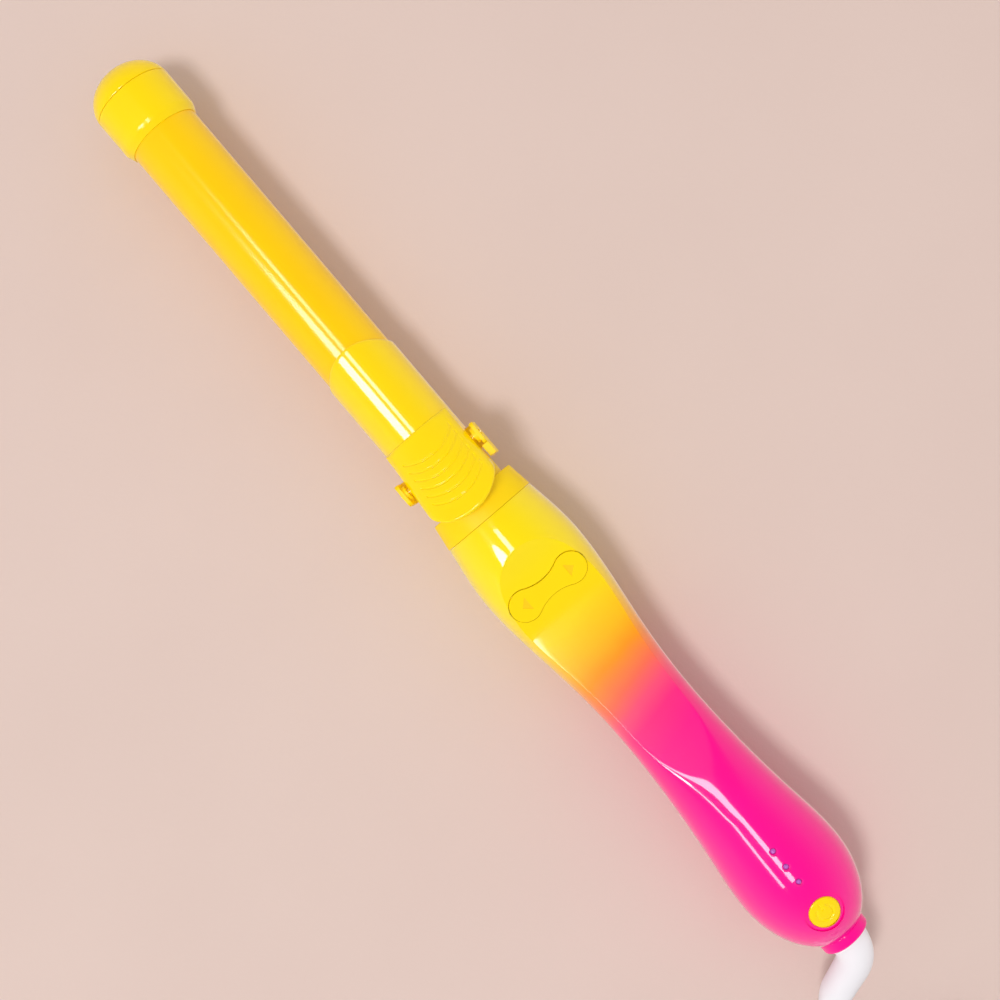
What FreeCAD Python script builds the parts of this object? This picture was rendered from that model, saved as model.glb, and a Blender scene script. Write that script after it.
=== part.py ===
import FreeCAD, Part
import math
import os

# Rotating curling iron, lying on its handle's two bulges with the buttons up.
# X runs along the barrel axis from the domed tip to the cord, Z is up, and the
# origin is on the table below the middle of the length. Millimetres, degrees.
# Everything is drawn with the axis on Z = 0 and lifted onto the table on saving.

Vec = FreeCAD.Vector
X_DIR = Vec(1, 0, 0)
Y_DIR = Vec(0, 1, 0)
Z_DIR = Vec(0, 0, 1)

# Fits shared by all pieces
SEAT = 0.05            # between pieces of one body that sit on each other
RUN = 0.06             # radial running clearance of a turning fit
CLEAR = 0.3            # between pieces that pass each other
OVER = 1.0             # how far every cutter runs past the face it cuts
FLAT_SHARE = 1e-4      # an arc flatter than this share of its chord is drawn as a line

# Tip and barrel
DOME_L = 12.3
CAP_R = 14.4
CAP_L = 16.55
CAP_CHAMFER_L = 2.7
CAP_CHAMFER_DROP = 1.25
CAP_WALL = 1.6
CAP_SOCKET_L = 9.4
CAP_WEB_T = 2.0
DOME_SPIGOT_R = 8.0
BARREL_R = 12.7
BARREL_WALL = 1.0
BARREL_L = 159.0       # coated length between the cap and the neck ring
HOME_TURN = 4.0        # the barrel stopped a little off its middle position

# Barrel base, the turning foot of the barrel, and its drive
BASE_T = 0.45
BASE_L = 19.5
BASE_ENTRY = 1.7       # how far the base reaches into the neck ring
BASE_WEB_T = 4.5
SHAFT_WALL = 1.2
SHAFT_END = 19.5       # shaft end behind the neck seam
GEAR_TEETH = 28
PINION_TEETH = 14
GEAR_WIDTH = 2.6
GEAR_BACKLASH = 0.16
GEAR_TIP_SHARE = 0.9
GEAR_ROOT_SHARE = 1.25
GEAR_RIM = 1.375       # between the shaft and the teeth's roots
DRUM_START = 2.5
DRUM_L = 9.5
DRUM_WALL = 3.0
SLIP_RING_W = 2.6
SLIP_RING_T = 0.5
BUSH_WALL = 2.4
REAR_BUSH_START = 13.4
REAR_BUSH_L = 3.2

# Heater inside the barrel
HEATER_L = 80.0
HEATER_END = 14.0      # from the heater block to the barrel's rear end
PTC_W = 14.0
PTC_T = 2.4
THERMISTOR_R = 1.1
THERMISTOR_L = 7.0

# Clamp: spoon, lever, bracket and pins
SPOON_GAP = 0.3
SPOON_T = 0.5
SPOON_L = 44.45
SPOON_END_R = 17.5     # rounding of the spoon's front end in plan
PIN_FROM_RING = 14.3   # hinge pin ahead of the neck ring's front edge
PIN_HEIGHT_SHARE = 0.757
PIN_R = 1.0
PIN_STICK_OUT = 0.4
LEVER_FRONT = 13.7     # ahead of the pin
LEVER_REAR = 19.0      # behind the pin
LEVER_FRONT_STEP = 0.95
LEVER_REAR_RISE = 7.2  # pad top above the neck ring's largest radius
LEVER_FRONT_TUCK = 0.2
LEVER_REAR_OVERHANG = 0.55
LEVER_TOP_T = 2.3
LEVER_SIDE_T = 1.6
LEVER_LIP = 2.6
LEVER_CORNER_R = 5.0
LEVER_END_R = 17.0     # broad round of the pad's rear end in plan
LEVER_EYE_R = 3.2
LEVER_FRONT_CROWN = 6.4
LEVER_REAR_CROWN = 1.7
LEVER_SECTION_SHARES = (0.0, 0.33, 0.67, 1.0)
GROOVE_COUNT = 6
GROOVE_R = 16.0
GROOVE_W = 0.9
GROOVE_DEPTH = 0.4
GROOVE_PITCH = 3.25
GROOVE_FIRST = 3.9     # first groove's crown ahead of the pin
GROOVE_HALF_L = 9.6
EAR_L = 8.3
EAR_T = 1.3
EAR_OUT_Y = 16.7
EAR_TOP = 3.4          # above the pin
EAR_CORNER_R = 1.8
EAR_FOOT_TOP = 2.6     # foot block above the axis
EAR_FOOT_BOTTOM = 4.0
EAR_BOSS_R = 2.7
EAR_BOSS_GAP = 0.5
LUG_L = 4.4            # block behind the ear on the +Y side
LUG_DROP = 1.0         # its top below the ear's top
BRACKET_T = 1.4
RIVET_R = 1.2
RIVET_Y = 4.4
RIVET_BACK = 4.6       # behind the lever's front edge
RIVET_GRIP = 1.3
SPRING_R = 2.5
SPRING_WIRE = 0.5
SPRING_TURNS = 3
SPRING_BACK = 9.3      # behind the pin
SPRING_SEAT_R = 3.6
SPRING_SEAT_T = 0.6
SPRING_POST_R = 1.5
SPRING_POST_H = 1.6
SPRING_TOP_GAP = 0.3

# Neck ring and handle
RING_L = 9.3
RING_FRONT_R = 16.4
RING_SPIGOT_L = 3.0
NECK_R = 17.7
BULGE_R = 20.2
FLANK_R = 16.6
WAIST_R = 14.86
REAR_FLANK_R = 17.46
TAIL_END_R = 9.3
HANDLE_L = 181.2
WALL = 2.0
FOOT_R = 4.0           # low feet under the two bulges, so that the handle doesn't roll
FOOT_HALF_W = 6.5
FOOT_PROUD = 0.3
FOOT_ROOT = 1.2
FRONT_BULGE_SHARE = 0.1209
FLANK_SHARE = 0.3217
WAIST_SHARE = 0.4796
REAR_FLANK_SHARE = 0.7125
REAR_BULGE_SHARE = 0.8576
NECK_SLOPE = 0.16
FLANK_SLOPE = -0.118
REAR_FLANK_SLOPE = 0.113
# Thumb scoop: stations from the rocker's centre as shares of its length, heights as shares of the bulge
SCOOP_L = 112.0
SCOOP_STATION_SHARES = (-0.1752, -0.0911, 0.0143, 0.225, 0.5036, 0.825)
SCOOP_HEIGHT_SHARES = (1.06, 0.81, 0.614, 0.502, 0.497, 0.846)
SCOOP_SLOPES = (-0.62, -0.47, -0.3, -0.01, 0.02, 0.17)

# Tail: collar, swivelling strain relief
COLLAR_L = 4.15
COLLAR_R = 9.0
COLLAR_ROUND = 1.2
COLLAR_NECK_L = 6.0
COLLAR_NECK_R = 7.4
RELIEF_R = 5.5
RELIEF_FLANGE_R = 8.2
RELIEF_FLANGE_T = 2.2
RELIEF_CORNER = 7.0    # from the collar's rim to the corner of the bend
RELIEF_BEND_R = 10.0
RELIEF_LEG = 15.5      # from the corner to where the taper starts
RELIEF_HEADING = -64.6
RELIEF_PITCH = -18.0
RELIEF_TIP_R = 3.3

# Rotation rocker in the thumb scoop
ROCKER_BACK = 10.2     # centre behind the drive shaft's end
LOBE_R = 5.6
LOBE_Y = 9.6
ROCKER_NECK = 6.4
ROCKER_T = 2.2
ROCKER_PROUD = 0.4
ROCKER_GAP = 0.45
ROCKER_PIN_DEPTH = 3.6
ROCKER_PIN_R = 1.0
ROCKER_PIN_L = 13.0
ROCKER_RIB_W = 2.4
ROCKER_FOOT_R = 1.5
ROCKER_FOOT_DEPTH = 3.4
ROCKER_BOARD_DEPTH = 6.4
BOARD_T = 1.2
ROCKER_BOARD_X = 9.6   # half length and half width
ROCKER_BOARD_Y = 12.4
POST_R = 1.6
ROCKER_POST_X = 8.0
ROCKER_POST_Y = 9.0
CARRIER_BASE_T = 1.0
CARRIER_HALF_W = 2.3
CARRIER_POST_T = 1.8
CARRIER_POST_TOP = 2.3
SWITCH_HALF = 2.25
SWITCH_T = 1.35
SWITCH_KNOB_R = 1.0
SWITCH_KNOB_H = 0.65
ARROW_H = 2.8
ARROW_BASE = 5.3
ARROW_RELIEF = 0.25

# Power button, indicator lights and their board
BUTTON_SHARE = 0.9277
BUTTON_R = 5.4
BUTTON_GAP = 0.35
BUTTON_DISH_R = 6.9
BUTTON_DISH_DEPTH = 0.5
BUTTON_SINK = 0.2
BUTTON_TRAVEL = 0.8
BUTTON_FLANGE_R = 6.5
BUTTON_FLANGE_T = 1.0
BUTTON_DEPTH = 6.17    # flange's top below the skin
BUTTON_STEM_R = 1.6
BOARD_DROP = 6.0       # board below the button's flange
POWER_BOARD_SHARES = (0.665, 0.946)
POWER_BOARD_Y = 8.2
POWER_POST_SHARES = (0.69, 0.868)
POWER_POST_Y = 5.8
POWER_SWITCH_HALF = 3.0
POWER_SWITCH_T = 2.2
POWER_KNOB_H = 1.0
LIGHT_SHARES = (0.782, 0.8168, 0.851)
LIGHT_R = 0.9
LIGHT_PROUD = 0.15
LED_L = 2.0
LED_W = 1.2
LED_T = 0.8
LED_GAP = 0.4
CAPACITOR_R = 3.6
CAPACITOR_L = 11.0
CAPACITOR_SHARE = 0.73
RELAY_L = 15.0
RELAY_W = 10.0
RELAY_H = 7.5
RELAY_SHARE = 0.81

# Motor, brushes and fasteners
MOTOR_R = 5.0
MOTOR_L = 24.0
MOTOR_BOSS_R = 2.0
MOTOR_BOSS_L = 0.6
MOTOR_SHAFT_R = 1.0
MOTOR_SHAFT_IN = 3.0
MOTOR_GAP = 1.2
CRADLE_INSET = 4.0
CRADLE_T = 0.87        # between the motor's rear end and the rear shell's wall
CRADLE_SIDE = 2.0
CRADLE_RISE = 3.0
BRUSH_W = 2.2
BRUSH_L = 4.2
HOLDER_HALF_W = 3.4
HOLDER_WALL = 1.1
SHELL_BOSS_R = 3.0
SHELL_SCREW_R = 1.25
SHELL_HEAD_R = 2.3
SHELL_HEAD_T = 1.8
SHELL_SCREW_GRIP = 5.5
SHELL_SCREW_SHARES = (0.345, 0.58, 0.805)
SHELL_SCREW_Y = (0.0, 0.0, 12.2)
SHELL_HEAD_SINK = 3.0
BOARD_SCREW_R = 0.75
BOARD_SCREW_GRIP = 3.4
BOARD_HEAD_R = 1.5
BOARD_HEAD_T = 0.9

# Cord, hank, tie and plug. The route is a list of points chosen by hand, from the
# end of the strain relief to the start of the hank, with Z from the table.
CORD_D = 5.2
CORD_ROUTE = ((214.9, -24.7, 11.2), (226.4, -33.7, 7.6), (240.8, -37.0, 3.9), (254.4, -37.0, 3.9))
CORD_CORNER_SHARE = 0.45
FOLD_R = 15.7
HANK_RUN = 78.0
HANK_STEP = 6.1        # from one run to the next in a layer
LAYER_STEP = 5.7
WAIST_DRAW = 7.0
# Each run of the hank: side in Y, lane from inside as a share of the step, first and last layer
HANK_RUN_SHARES = ((-1, 1, 0, 0), (1, 1, 0, 0), (-1, 0, 0, 0), (1, 0, 0, 1),
                   (-1, 0, 1, 1), (1, 1, 1, 1), (-1, 1, 1, 1), (1, 2, 1, 2),
                   (-1, 1, 2, 2), (1, 1, 2, 2), (-1, 0, 2, 2), (1, 0, 2, 3),
                   (-1, 0, 3, 3))
TIE_W = 9.0
TIE_T = 1.0
TIE_CORNER_R = 3.5
PLUG_L = 28.0
PLUG_W = 22.0
PLUG_H = 12.5
PLUG_ROUND = 2.6
PLUG_NOSE_L = 9.0
PLUG_NOSE_R = 3.9
PLUG_BACK = 45.0       # plug's cord end along the hank
BLADE_L = 16.0
BLADE_W = 6.3
BLADE_T = 1.5
BLADE_SPACING = 12.7
BLADE_ROOT = 4.0
BLADE_ROUND = 1.5

# Places worked out from the sizes above
AXIS_Z = BULGE_R + FOOT_PROUD
OVERALL = DOME_L + CAP_L + BARREL_L + RING_L + HANDLE_L + COLLAR_L
X_TIP = -OVERALL / 2
X_DOME = X_TIP + DOME_L
X_CAP = X_DOME + CAP_L
X_RING = X_CAP + BARREL_L
X_NECK = X_RING + RING_L
X_TAIL = X_NECK + HANDLE_L
X_END = X_TAIL + COLLAR_L
X_PIN = X_RING - PIN_FROM_RING
SPOON_IN = BARREL_R + SPOON_GAP
SPOON_OUT = SPOON_IN + SPOON_T
BASE_R = BARREL_R + SEAT + BASE_T
BASE_REACH = BASE_R + CLEAR
PIN_Z = BASE_R * PIN_HEIGHT_SHARE
X_GEAR = X_NECK + SHAFT_END - GEAR_WIDTH
X_MOTOR = X_GEAR + GEAR_WIDTH + MOTOR_GAP
X_BUTTON = X_NECK + BUTTON_SHARE * HANDLE_L
X_ROCKER = X_NECK + SHAFT_END + ROCKER_BACK
TAIL_REACH = (1 - REAR_BULGE_SHARE) * HANDLE_L / math.sqrt(1 - (TAIL_END_R / BULGE_R) ** 2)

os.makedirs("parts", exist_ok=True)


def save(name, shape, turn=0):
    """Turns a shape about the barrel axis, lifts it onto the table and writes it."""
    placed = shape.copy()
    placed.rotate(Vec(), X_DIR, turn)
    placed.translate(Vec(0, 0, AXIS_Z))
    placed.exportStep("parts/" + name + ".step")


def cylinder(start, direction, radius, length):
    return Part.makeCylinder(radius, length, start, direction)


def rod(radius, x0, x1):
    """Round bar on the barrel axis."""
    return cylinder(Vec(x0, 0, 0), X_DIR, radius, x1 - x0)


def tube(r_out, r_in, x0, x1):
    return rod(r_out, x0, x1).cut(rod(r_in, x0 - OVER, x1 + OVER))


def upright(radius, x, y, z0, z1):
    return cylinder(Vec(x, y, z0), Z_DIR, radius, z1 - z0)


def block(x0, x1, y0, y1, z0, z1):
    return Part.makeBox(x1 - x0, y1 - y0, z1 - z0, Vec(x0, y0, z0))


def fuse(shapes):
    return shapes[0].multiFuse(shapes[1:]).removeSplitter()


def polygon_face(points):
    return Part.Face(Part.makePolygon(points + points[:1]))


def turned(points):
    """Solid of revolution about the barrel axis of a closed (x, radius) outline."""
    face = polygon_face([Vec(x, 0, r) for x, r in points])
    return face.revolve(Vec(), X_DIR, 360)


def hermite_edges(knots):
    """Cubic pieces through (x, z, slope) knots: a Bezier whose poles are a third apart in x."""
    edges = []
    for (x0, z0, m0), (x1, z1, m1) in zip(knots, knots[1:]):
        third = (x1 - x0) / 3
        curve = Part.BezierCurve()
        curve.setPoles([Vec(x0, 0, z0), Vec(x0 + third, 0, z0 + m0 * third),
                        Vec(x1 - third, 0, z1 - m1 * third), Vec(x1, 0, z1)])
        edges.append(curve.toShape())
    return edges


def hermite_value(knots, x):
    """Height and slope of the same cubic pieces at x."""
    for (x0, z0, m0), (x1, z1, m1) in zip(knots, knots[1:]):
        if x <= x1:
            break
    span = x1 - x0
    f = (x - x0) / span
    height = ((1 + 2 * f) * (1 - f) ** 2 * z0 + f * (1 - f) ** 2 * span * m0
              + f * f * (3 - 2 * f) * z1 + f * f * (f - 1) * span * m1)
    slope = (6 * f * (f - 1) * (z0 - z1) / span + (1 - f) * (1 - 3 * f) * m0 + f * (3 * f - 2) * m1)
    return height, slope


def share_x(share):
    return X_NECK + share * HANDLE_L


def handle_knots(inset):
    """Radius of the handle's body at its knots, drawn in by a wall."""
    return [(X_NECK, NECK_R - inset, NECK_SLOPE), (share_x(FRONT_BULGE_SHARE), BULGE_R - inset, 0),
            (share_x(FLANK_SHARE), FLANK_R - inset, FLANK_SLOPE),
            (share_x(WAIST_SHARE), WAIST_R - inset, 0),
            (share_x(REAR_FLANK_SHARE), REAR_FLANK_R - inset, REAR_FLANK_SLOPE),
            (share_x(REAR_BULGE_SHARE), BULGE_R - inset, 0)]


def handle_solid(inset):
    """Handle's body of revolution: cubic pieces to the rear bulge, then a quarter-ellipse tail."""
    knots = handle_knots(inset)
    edges = hermite_edges(knots)
    x_bulge = knots[-1][0]
    reach = TAIL_REACH - inset
    height = BULGE_R - inset
    end = math.degrees(math.asin((X_TAIL - x_bulge) / TAIL_REACH))
    quarter = math.degrees(math.pi / 2)
    arc = Part.makeCircle(1, Vec(), Vec(0, -1, 0), quarter - end, quarter)
    stretch = FreeCAD.Matrix(reach, 0, 0, x_bulge, 0, 1, 0, 0, 0, 0, height, 0, 0, 0, 0, 1)
    tail = arc.transformGeometry(stretch)
    ends = sorted([v.Point for v in tail.Vertexes], key=lambda p: p.x)
    start = edges[0].Vertexes[0].Point
    edges.append(tail)
    outline = [ends[1], Vec(ends[1].x, 0, 0), Vec(start.x, 0, 0), start]
    edges += [Part.makeLine(a, b) for a, b in zip(outline, outline[1:])]
    wire = Part.Wire(Part.__sortEdges__(edges))
    return Part.Face(wire).revolve(Vec(), X_DIR, 360)


def handle_radius(x):
    """Outer radius of the handle at x."""
    x_bulge = share_x(REAR_BULGE_SHARE)
    if x > x_bulge:
        return BULGE_R * math.sqrt(1 - ((x - x_bulge) / TAIL_REACH) ** 2)
    return hermite_value(handle_knots(0), x)[0]


MOTOR_Z = MOTOR_R + CRADLE_T + WALL - handle_radius(X_MOTOR + MOTOR_L)
GEAR_MODULE = -2 * MOTOR_Z / (GEAR_TEETH + PINION_TEETH)
SHAFT_R = GEAR_MODULE * (GEAR_TEETH / 2 - GEAR_ROOT_SHARE) - GEAR_RIM
DRUM_R = SHAFT_R + DRUM_WALL
BUTTON_FLANGE_Z = handle_radius(X_BUTTON) - BUTTON_DEPTH
POWER_BOARD_TOP = BUTTON_FLANGE_Z - BOARD_DROP
SCOOP_KNOTS = [(X_ROCKER + s * SCOOP_L, h * BULGE_R, m)
               for s, h, m in zip(SCOOP_STATION_SHARES, SCOOP_HEIGHT_SHARES, SCOOP_SLOPES)]


def scoop_cutter(sink):
    """Everything above the thumb scoop's floor, across the handle, sunk by a wall."""
    edges = hermite_edges(SCOOP_KNOTS)
    first, last = SCOOP_KNOTS[0], SCOOP_KNOTS[-1]
    roof = BULGE_R + BULGE_R
    corners = [Vec(last[0], 0, last[1]), Vec(last[0], 0, roof), Vec(first[0], 0, roof),
               Vec(first[0], 0, first[1])]
    edges += [Part.makeLine(a, b) for a, b in zip(corners, corners[1:])]
    face = Part.Face(Part.Wire(Part.__sortEdges__(edges)))
    face.translate(Vec(0, -BULGE_R - OVER, -sink))
    return face.extrude(Vec(0, 2 * (BULGE_R + OVER), 0))


def arc_between(start, corner, end):
    """Arc from start to end, tangent to the two equal legs that meet at corner."""
    middle = (start + end) / 2
    half_chord = (end - start).Length / 2
    rise = (corner - middle).Length
    if rise < half_chord * FLAT_SHARE:
        return Part.LineSegment(start, end).toShape()
    half_turn = math.atan2(rise, half_chord)
    top = middle + (corner - middle) * (math.tan(half_turn / 2) / math.tan(half_turn))
    return Part.Arc(start, top, end).toShape()


def biarc(p0, t0, p1, t1):
    """Two arcs that leave p0 along t0 and reach p1 along t1, with equal legs."""
    v = p1 - p0
    along = v.dot(t0 + t1)
    bend = 2 * (1 - t0.dot(t1))
    if bend < FLAT_SHARE:
        leg = v.dot(v) / (2 * along)
    else:
        leg = (math.sqrt(along ** 2 + bend * v.dot(v)) - along) / bend
    q0 = p0 + t0 * leg
    q1 = p1 - t1 * leg
    joint = (q0 + q1) / 2
    return [arc_between(p0, q0, joint), arc_between(joint, q1, p1)]


def rounded_route(points, name):
    """Straight runs joined by tangent arcs, each as large as its two runs allow."""
    edges = []
    at = points[0]
    for a, b, c in zip(points, points[1:], points[2:]):
        leg = CORD_CORNER_SHARE * min((b - a).Length, (c - b).Length)
        before = b + (a - b).normalize() * leg
        after = b + (c - b).normalize() * leg
        half_turn = (b - a).getAngle(c - b) / 2
        print(name, "arc radius", round(leg / math.tan(half_turn), 1))
        edges.append(Part.makeLine(at, before))
        edges.append(arc_between(before, b, after))
        at = after
    edges.append(Part.makeLine(at, points[-1]))
    return edges


def swept(edges, radius, end_radius=None):
    """Round bar along a path of lines and arcs, tapered if an end radius is given."""
    wire = Part.Wire(edges)
    first, last = edges[0], edges[-1]
    profiles = []
    ends = [(first, first.FirstParameter, radius)]
    if end_radius:
        ends.append((last, last.LastParameter, end_radius))
    for edge, at, r in ends:
        profiles.append(Part.Wire(Part.makeCircle(r, edge.valueAt(at), edge.tangentAt(at))))
    return wire.makePipeShell(profiles, True, False)


def least_gap(edges, diameter, name):
    """Prints the least distance of a wound tube to itself, measured on points along its path."""
    points = []
    for edge in edges:
        count = max(2, int(edge.Length / (diameter / 2)))
        points += edge.discretize(Number=count + 1)[:-1]
    spacing = sum(e.Length for e in edges) / len(points)
    skip = int(2 * diameter / spacing) + 1
    least = min((p - q).Length for i, p in enumerate(points) for q in points[i + skip:])
    print(name, "length", round(sum(e.Length for e in edges), 1), "least gap", round(least - diameter, 2))


def print_volume(name, shape, edges, diameter):
    expected = math.pi * diameter ** 2 / 4 * sum(e.Length for e in edges)
    print(name, "volume over section times length", round(shape.Volume / expected, 4))


def gear(teeth, tip_share, x0, width, centre_z, first_angle):
    """Involute spur gear at 20 degrees, a tooth centred on first_angle (from Y towards Z)."""
    pressure = math.radians(20)
    pitch_r = GEAR_MODULE * teeth / 2
    base_r = pitch_r * math.cos(pressure)
    tip_r = pitch_r + GEAR_MODULE * tip_share
    root_r = pitch_r - GEAR_MODULE * GEAR_ROOT_SHARE
    start_r = max(base_r, root_r)
    flank_steps = 5
    half_tooth = math.pi / teeth / 2 - GEAR_BACKLASH / 2 / pitch_r
    involute_at_pitch = math.tan(pressure) - pressure

    def half_angle(r):
        roll = math.acos(min(1, base_r / r))
        return half_tooth + involute_at_pitch - (math.tan(roll) - roll)

    radii = [start_r + (tip_r - start_r) * i / flank_steps for i in range(flank_steps + 1)]
    flank = [(root_r, half_angle(start_r))] + [(r, half_angle(r)) for r in radii]
    points = []
    for tooth in range(teeth):
        middle = math.radians(first_angle) + 2 * math.pi * tooth / teeth
        polar = [(r, middle - a) for r, a in flank] + [(r, middle + a) for r, a in reversed(flank)]
        points += [Vec(x0, r * math.cos(a), centre_z + r * math.sin(a)) for r, a in polar]
    return polygon_face(points).extrude(Vec(width, 0, 0))


# Tip dome: moulded heat-proof nose, plugged into the collar with a spigot
ball = Part.makeSphere(1)
stretch = FreeCAD.Matrix(DOME_L, 0, 0, X_DOME, 0, CAP_R, 0, 0, 0, 0, CAP_R, 0, 0, 0, 0, 1)
dome = ball.transformGeometry(stretch)
dome = dome.common(rod(CAP_R + OVER, X_TIP - OVER, X_DOME))
x_web_end = X_CAP - CAP_SOCKET_L
dome = dome.fuse(rod(DOME_SPIGOT_R, X_DOME - OVER, x_web_end - CAP_WEB_T - SEAT)).removeSplitter()
save("tip_dome", dome, HOME_TURN)

# Tip collar: holds the dome's spigot and the barrel's front end
collar = turned([(X_DOME + SEAT, DOME_SPIGOT_R + SEAT), (X_DOME + SEAT, CAP_R),
                 (X_CAP - CAP_CHAMFER_L, CAP_R), (X_CAP, CAP_R - CAP_CHAMFER_DROP),
                 (X_CAP, BARREL_R + SEAT), (x_web_end, BARREL_R + SEAT), (x_web_end, CAP_WALL),
                 (x_web_end - CAP_WEB_T, CAP_WALL), (x_web_end - CAP_WEB_T, DOME_SPIGOT_R + SEAT)])
save("tip_collar", collar, HOME_TURN)

# Barrel: coated aluminium tube between the collar's web and the base's web
x_base_end = X_RING + BASE_ENTRY
x_base = x_base_end - BASE_L
x_tube_end = x_base_end - BASE_WEB_T - SEAT
barrel = tube(BARREL_R, BARREL_R - BARREL_WALL, x_web_end + SEAT, x_tube_end)
save("barrel_tube", barrel, HOME_TURN)

# Heater: two half-round aluminium blocks clamp a flat ceramic heater
heater_r = BARREL_R - BARREL_WALL - SEAT
x_heater_end = x_tube_end - HEATER_END
x_heater = x_heater_end - HEATER_L
core = rod(heater_r, x_heater, x_heater_end)
slot = block(x_heater - OVER, x_heater_end + OVER, -heater_r - OVER, heater_r + OVER,
             -PTC_T / 2 - SEAT, PTC_T / 2 + SEAT)
bead_z = PTC_T / 2 + (heater_r - PTC_T / 2) / 2
bead_x = x_heater_end - THERMISTOR_L
bead_hole = cylinder(Vec(bead_x, 0, bead_z), X_DIR, THERMISTOR_R + SEAT, THERMISTOR_L + OVER)
save("heater_blocks", core.cut(slot).cut(bead_hole), HOME_TURN)
save("ptc_heater", block(x_heater, x_heater_end, -PTC_W / 2, PTC_W / 2, -PTC_T / 2, PTC_T / 2), HOME_TURN)
bead = cylinder(Vec(bead_x + SEAT, 0, bead_z), X_DIR, THERMISTOR_R, THERMISTOR_L - SEAT)
save("thermistor", bead, HOME_TURN)

# Barrel base: turning foot that takes the barrel's rear end and the drive shaft
base = tube(BASE_R, BARREL_R + SEAT, x_base, x_base_end)
web = tube(BASE_R, SHAFT_R + SEAT, x_base_end - BASE_WEB_T, x_base_end)
x_spring = X_PIN + SPRING_BACK
seat_z = BASE_R + SPRING_SEAT_T
seat = upright(SPRING_SEAT_R, x_spring, 0, 0, seat_z)
seat = seat.fuse(upright(SPRING_POST_R, x_spring, 0, 0, seat_z + SPRING_POST_H))
seat = seat.cut(rod(BARREL_R + SEAT, x_base - OVER, x_base_end + OVER))
save("barrel_base", fuse([base, web, seat]), HOME_TURN)

# Drive shaft, hollow for the heater's leads
shaft = tube(SHAFT_R, SHAFT_R - SHAFT_WALL, x_base_end - BASE_WEB_T, X_NECK + SHAFT_END)
save("drive_shaft", shaft, HOME_TURN)

# Drive gear on the shaft's end, and the motor's pinion below it
drive_gear = gear(GEAR_TEETH, GEAR_TIP_SHARE, X_GEAR, GEAR_WIDTH, 0, -90)
drive_gear = drive_gear.cut(rod(SHAFT_R + SEAT, X_GEAR - OVER, X_GEAR + GEAR_WIDTH + OVER))
save("drive_gear", drive_gear)
pinion = gear(PINION_TEETH, 1, X_GEAR, GEAR_WIDTH, MOTOR_Z, 90 + 180 / PINION_TEETH)
spindle = cylinder(Vec(X_GEAR, 0, MOTOR_Z), X_DIR, MOTOR_SHAFT_R, X_MOTOR + MOTOR_SHAFT_IN - X_GEAR)
save("motor_pinion", pinion.fuse(spindle).removeSplitter())

# Slip rings: two copper bands on an insulating drum that turns with the shaft
x_drum = X_NECK + DRUM_START
drum = tube(DRUM_R, SHAFT_R + SEAT, x_drum, x_drum + DRUM_L)
ring_starts = [x_drum + (DRUM_L - 2 * SLIP_RING_W) / 3 * (i + 1) + SLIP_RING_W * i for i in range(2)]
bands = [tube(DRUM_R + SLIP_RING_T, DRUM_R + SEAT, x, x + SLIP_RING_W) for x in ring_starts]
save("slip_ring_drum", drum, HOME_TURN)
save("slip_rings", Part.makeCompound(bands), HOME_TURN)

# Hinge pins: two short steel pins, one in each ear
ear_in_y = EAR_OUT_Y - EAR_T
lever_pin_y = BASE_R + LEVER_REAR_OVERHANG
pin_in_y = lever_pin_y - LEVER_SIDE_T


def both_sides(shape):
    """A shape and its mirror image across the middle plane."""
    return [shape, shape.mirror(Vec(), Y_DIR)]


def pin_bar(radius, y0, y1):
    return cylinder(Vec(X_PIN, y0, PIN_Z), Y_DIR, radius, y1 - y0)


pivot_pin = pin_bar(PIN_R, pin_in_y, EAR_OUT_Y + PIN_STICK_OUT)
save("pivot_pins", Part.makeCompound(both_sides(pivot_pin)), HOME_TURN)

# Hinge bracket: a saddle round the base with two pierced ears
x_ear0 = X_PIN - EAR_L / 2
x_ear1 = X_PIN + EAR_L / 2
saddle = tube(BASE_R + SEAT + BRACKET_T, BASE_R + SEAT, x_ear0, x_ear1)
saddle = saddle.common(block(x_ear0, x_ear1, -EAR_OUT_Y, EAR_OUT_Y, -EAR_OUT_Y, EAR_FOOT_TOP))
foot = block(x_ear0, x_ear1, 0, EAR_OUT_Y, -EAR_FOOT_BOTTOM, EAR_FOOT_TOP)
foot = foot.cut(rod(BASE_R + SEAT, x_ear0 - OVER, x_ear1 + OVER))
ear = block(x_ear0, x_ear1, ear_in_y, EAR_OUT_Y, -EAR_FOOT_BOTTOM, PIN_Z + EAR_TOP)
top_corners = [e for e in ear.Edges
               if abs(e.Length - EAR_T) < SEAT and e.CenterOfMass.z > PIN_Z]
ear = ear.makeFillet(min(EAR_CORNER_R, EAR_L / 3), top_corners)
boss = pin_bar(EAR_BOSS_R, lever_pin_y + EAR_BOSS_GAP, EAR_OUT_Y)
hole = pin_bar(PIN_R + SEAT, 0, EAR_OUT_Y + OVER)
side = fuse([foot, ear, boss]).cut(hole)
lug = block(x_ear1, x_ear1 + LUG_L, lever_pin_y + EAR_BOSS_GAP, EAR_OUT_Y, -EAR_FOOT_BOTTOM,
            PIN_Z + EAR_TOP - LUG_DROP)
bracket = fuse([saddle, lug] + both_sides(side))
save("hinge_bracket", bracket, HOME_TURN)

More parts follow.
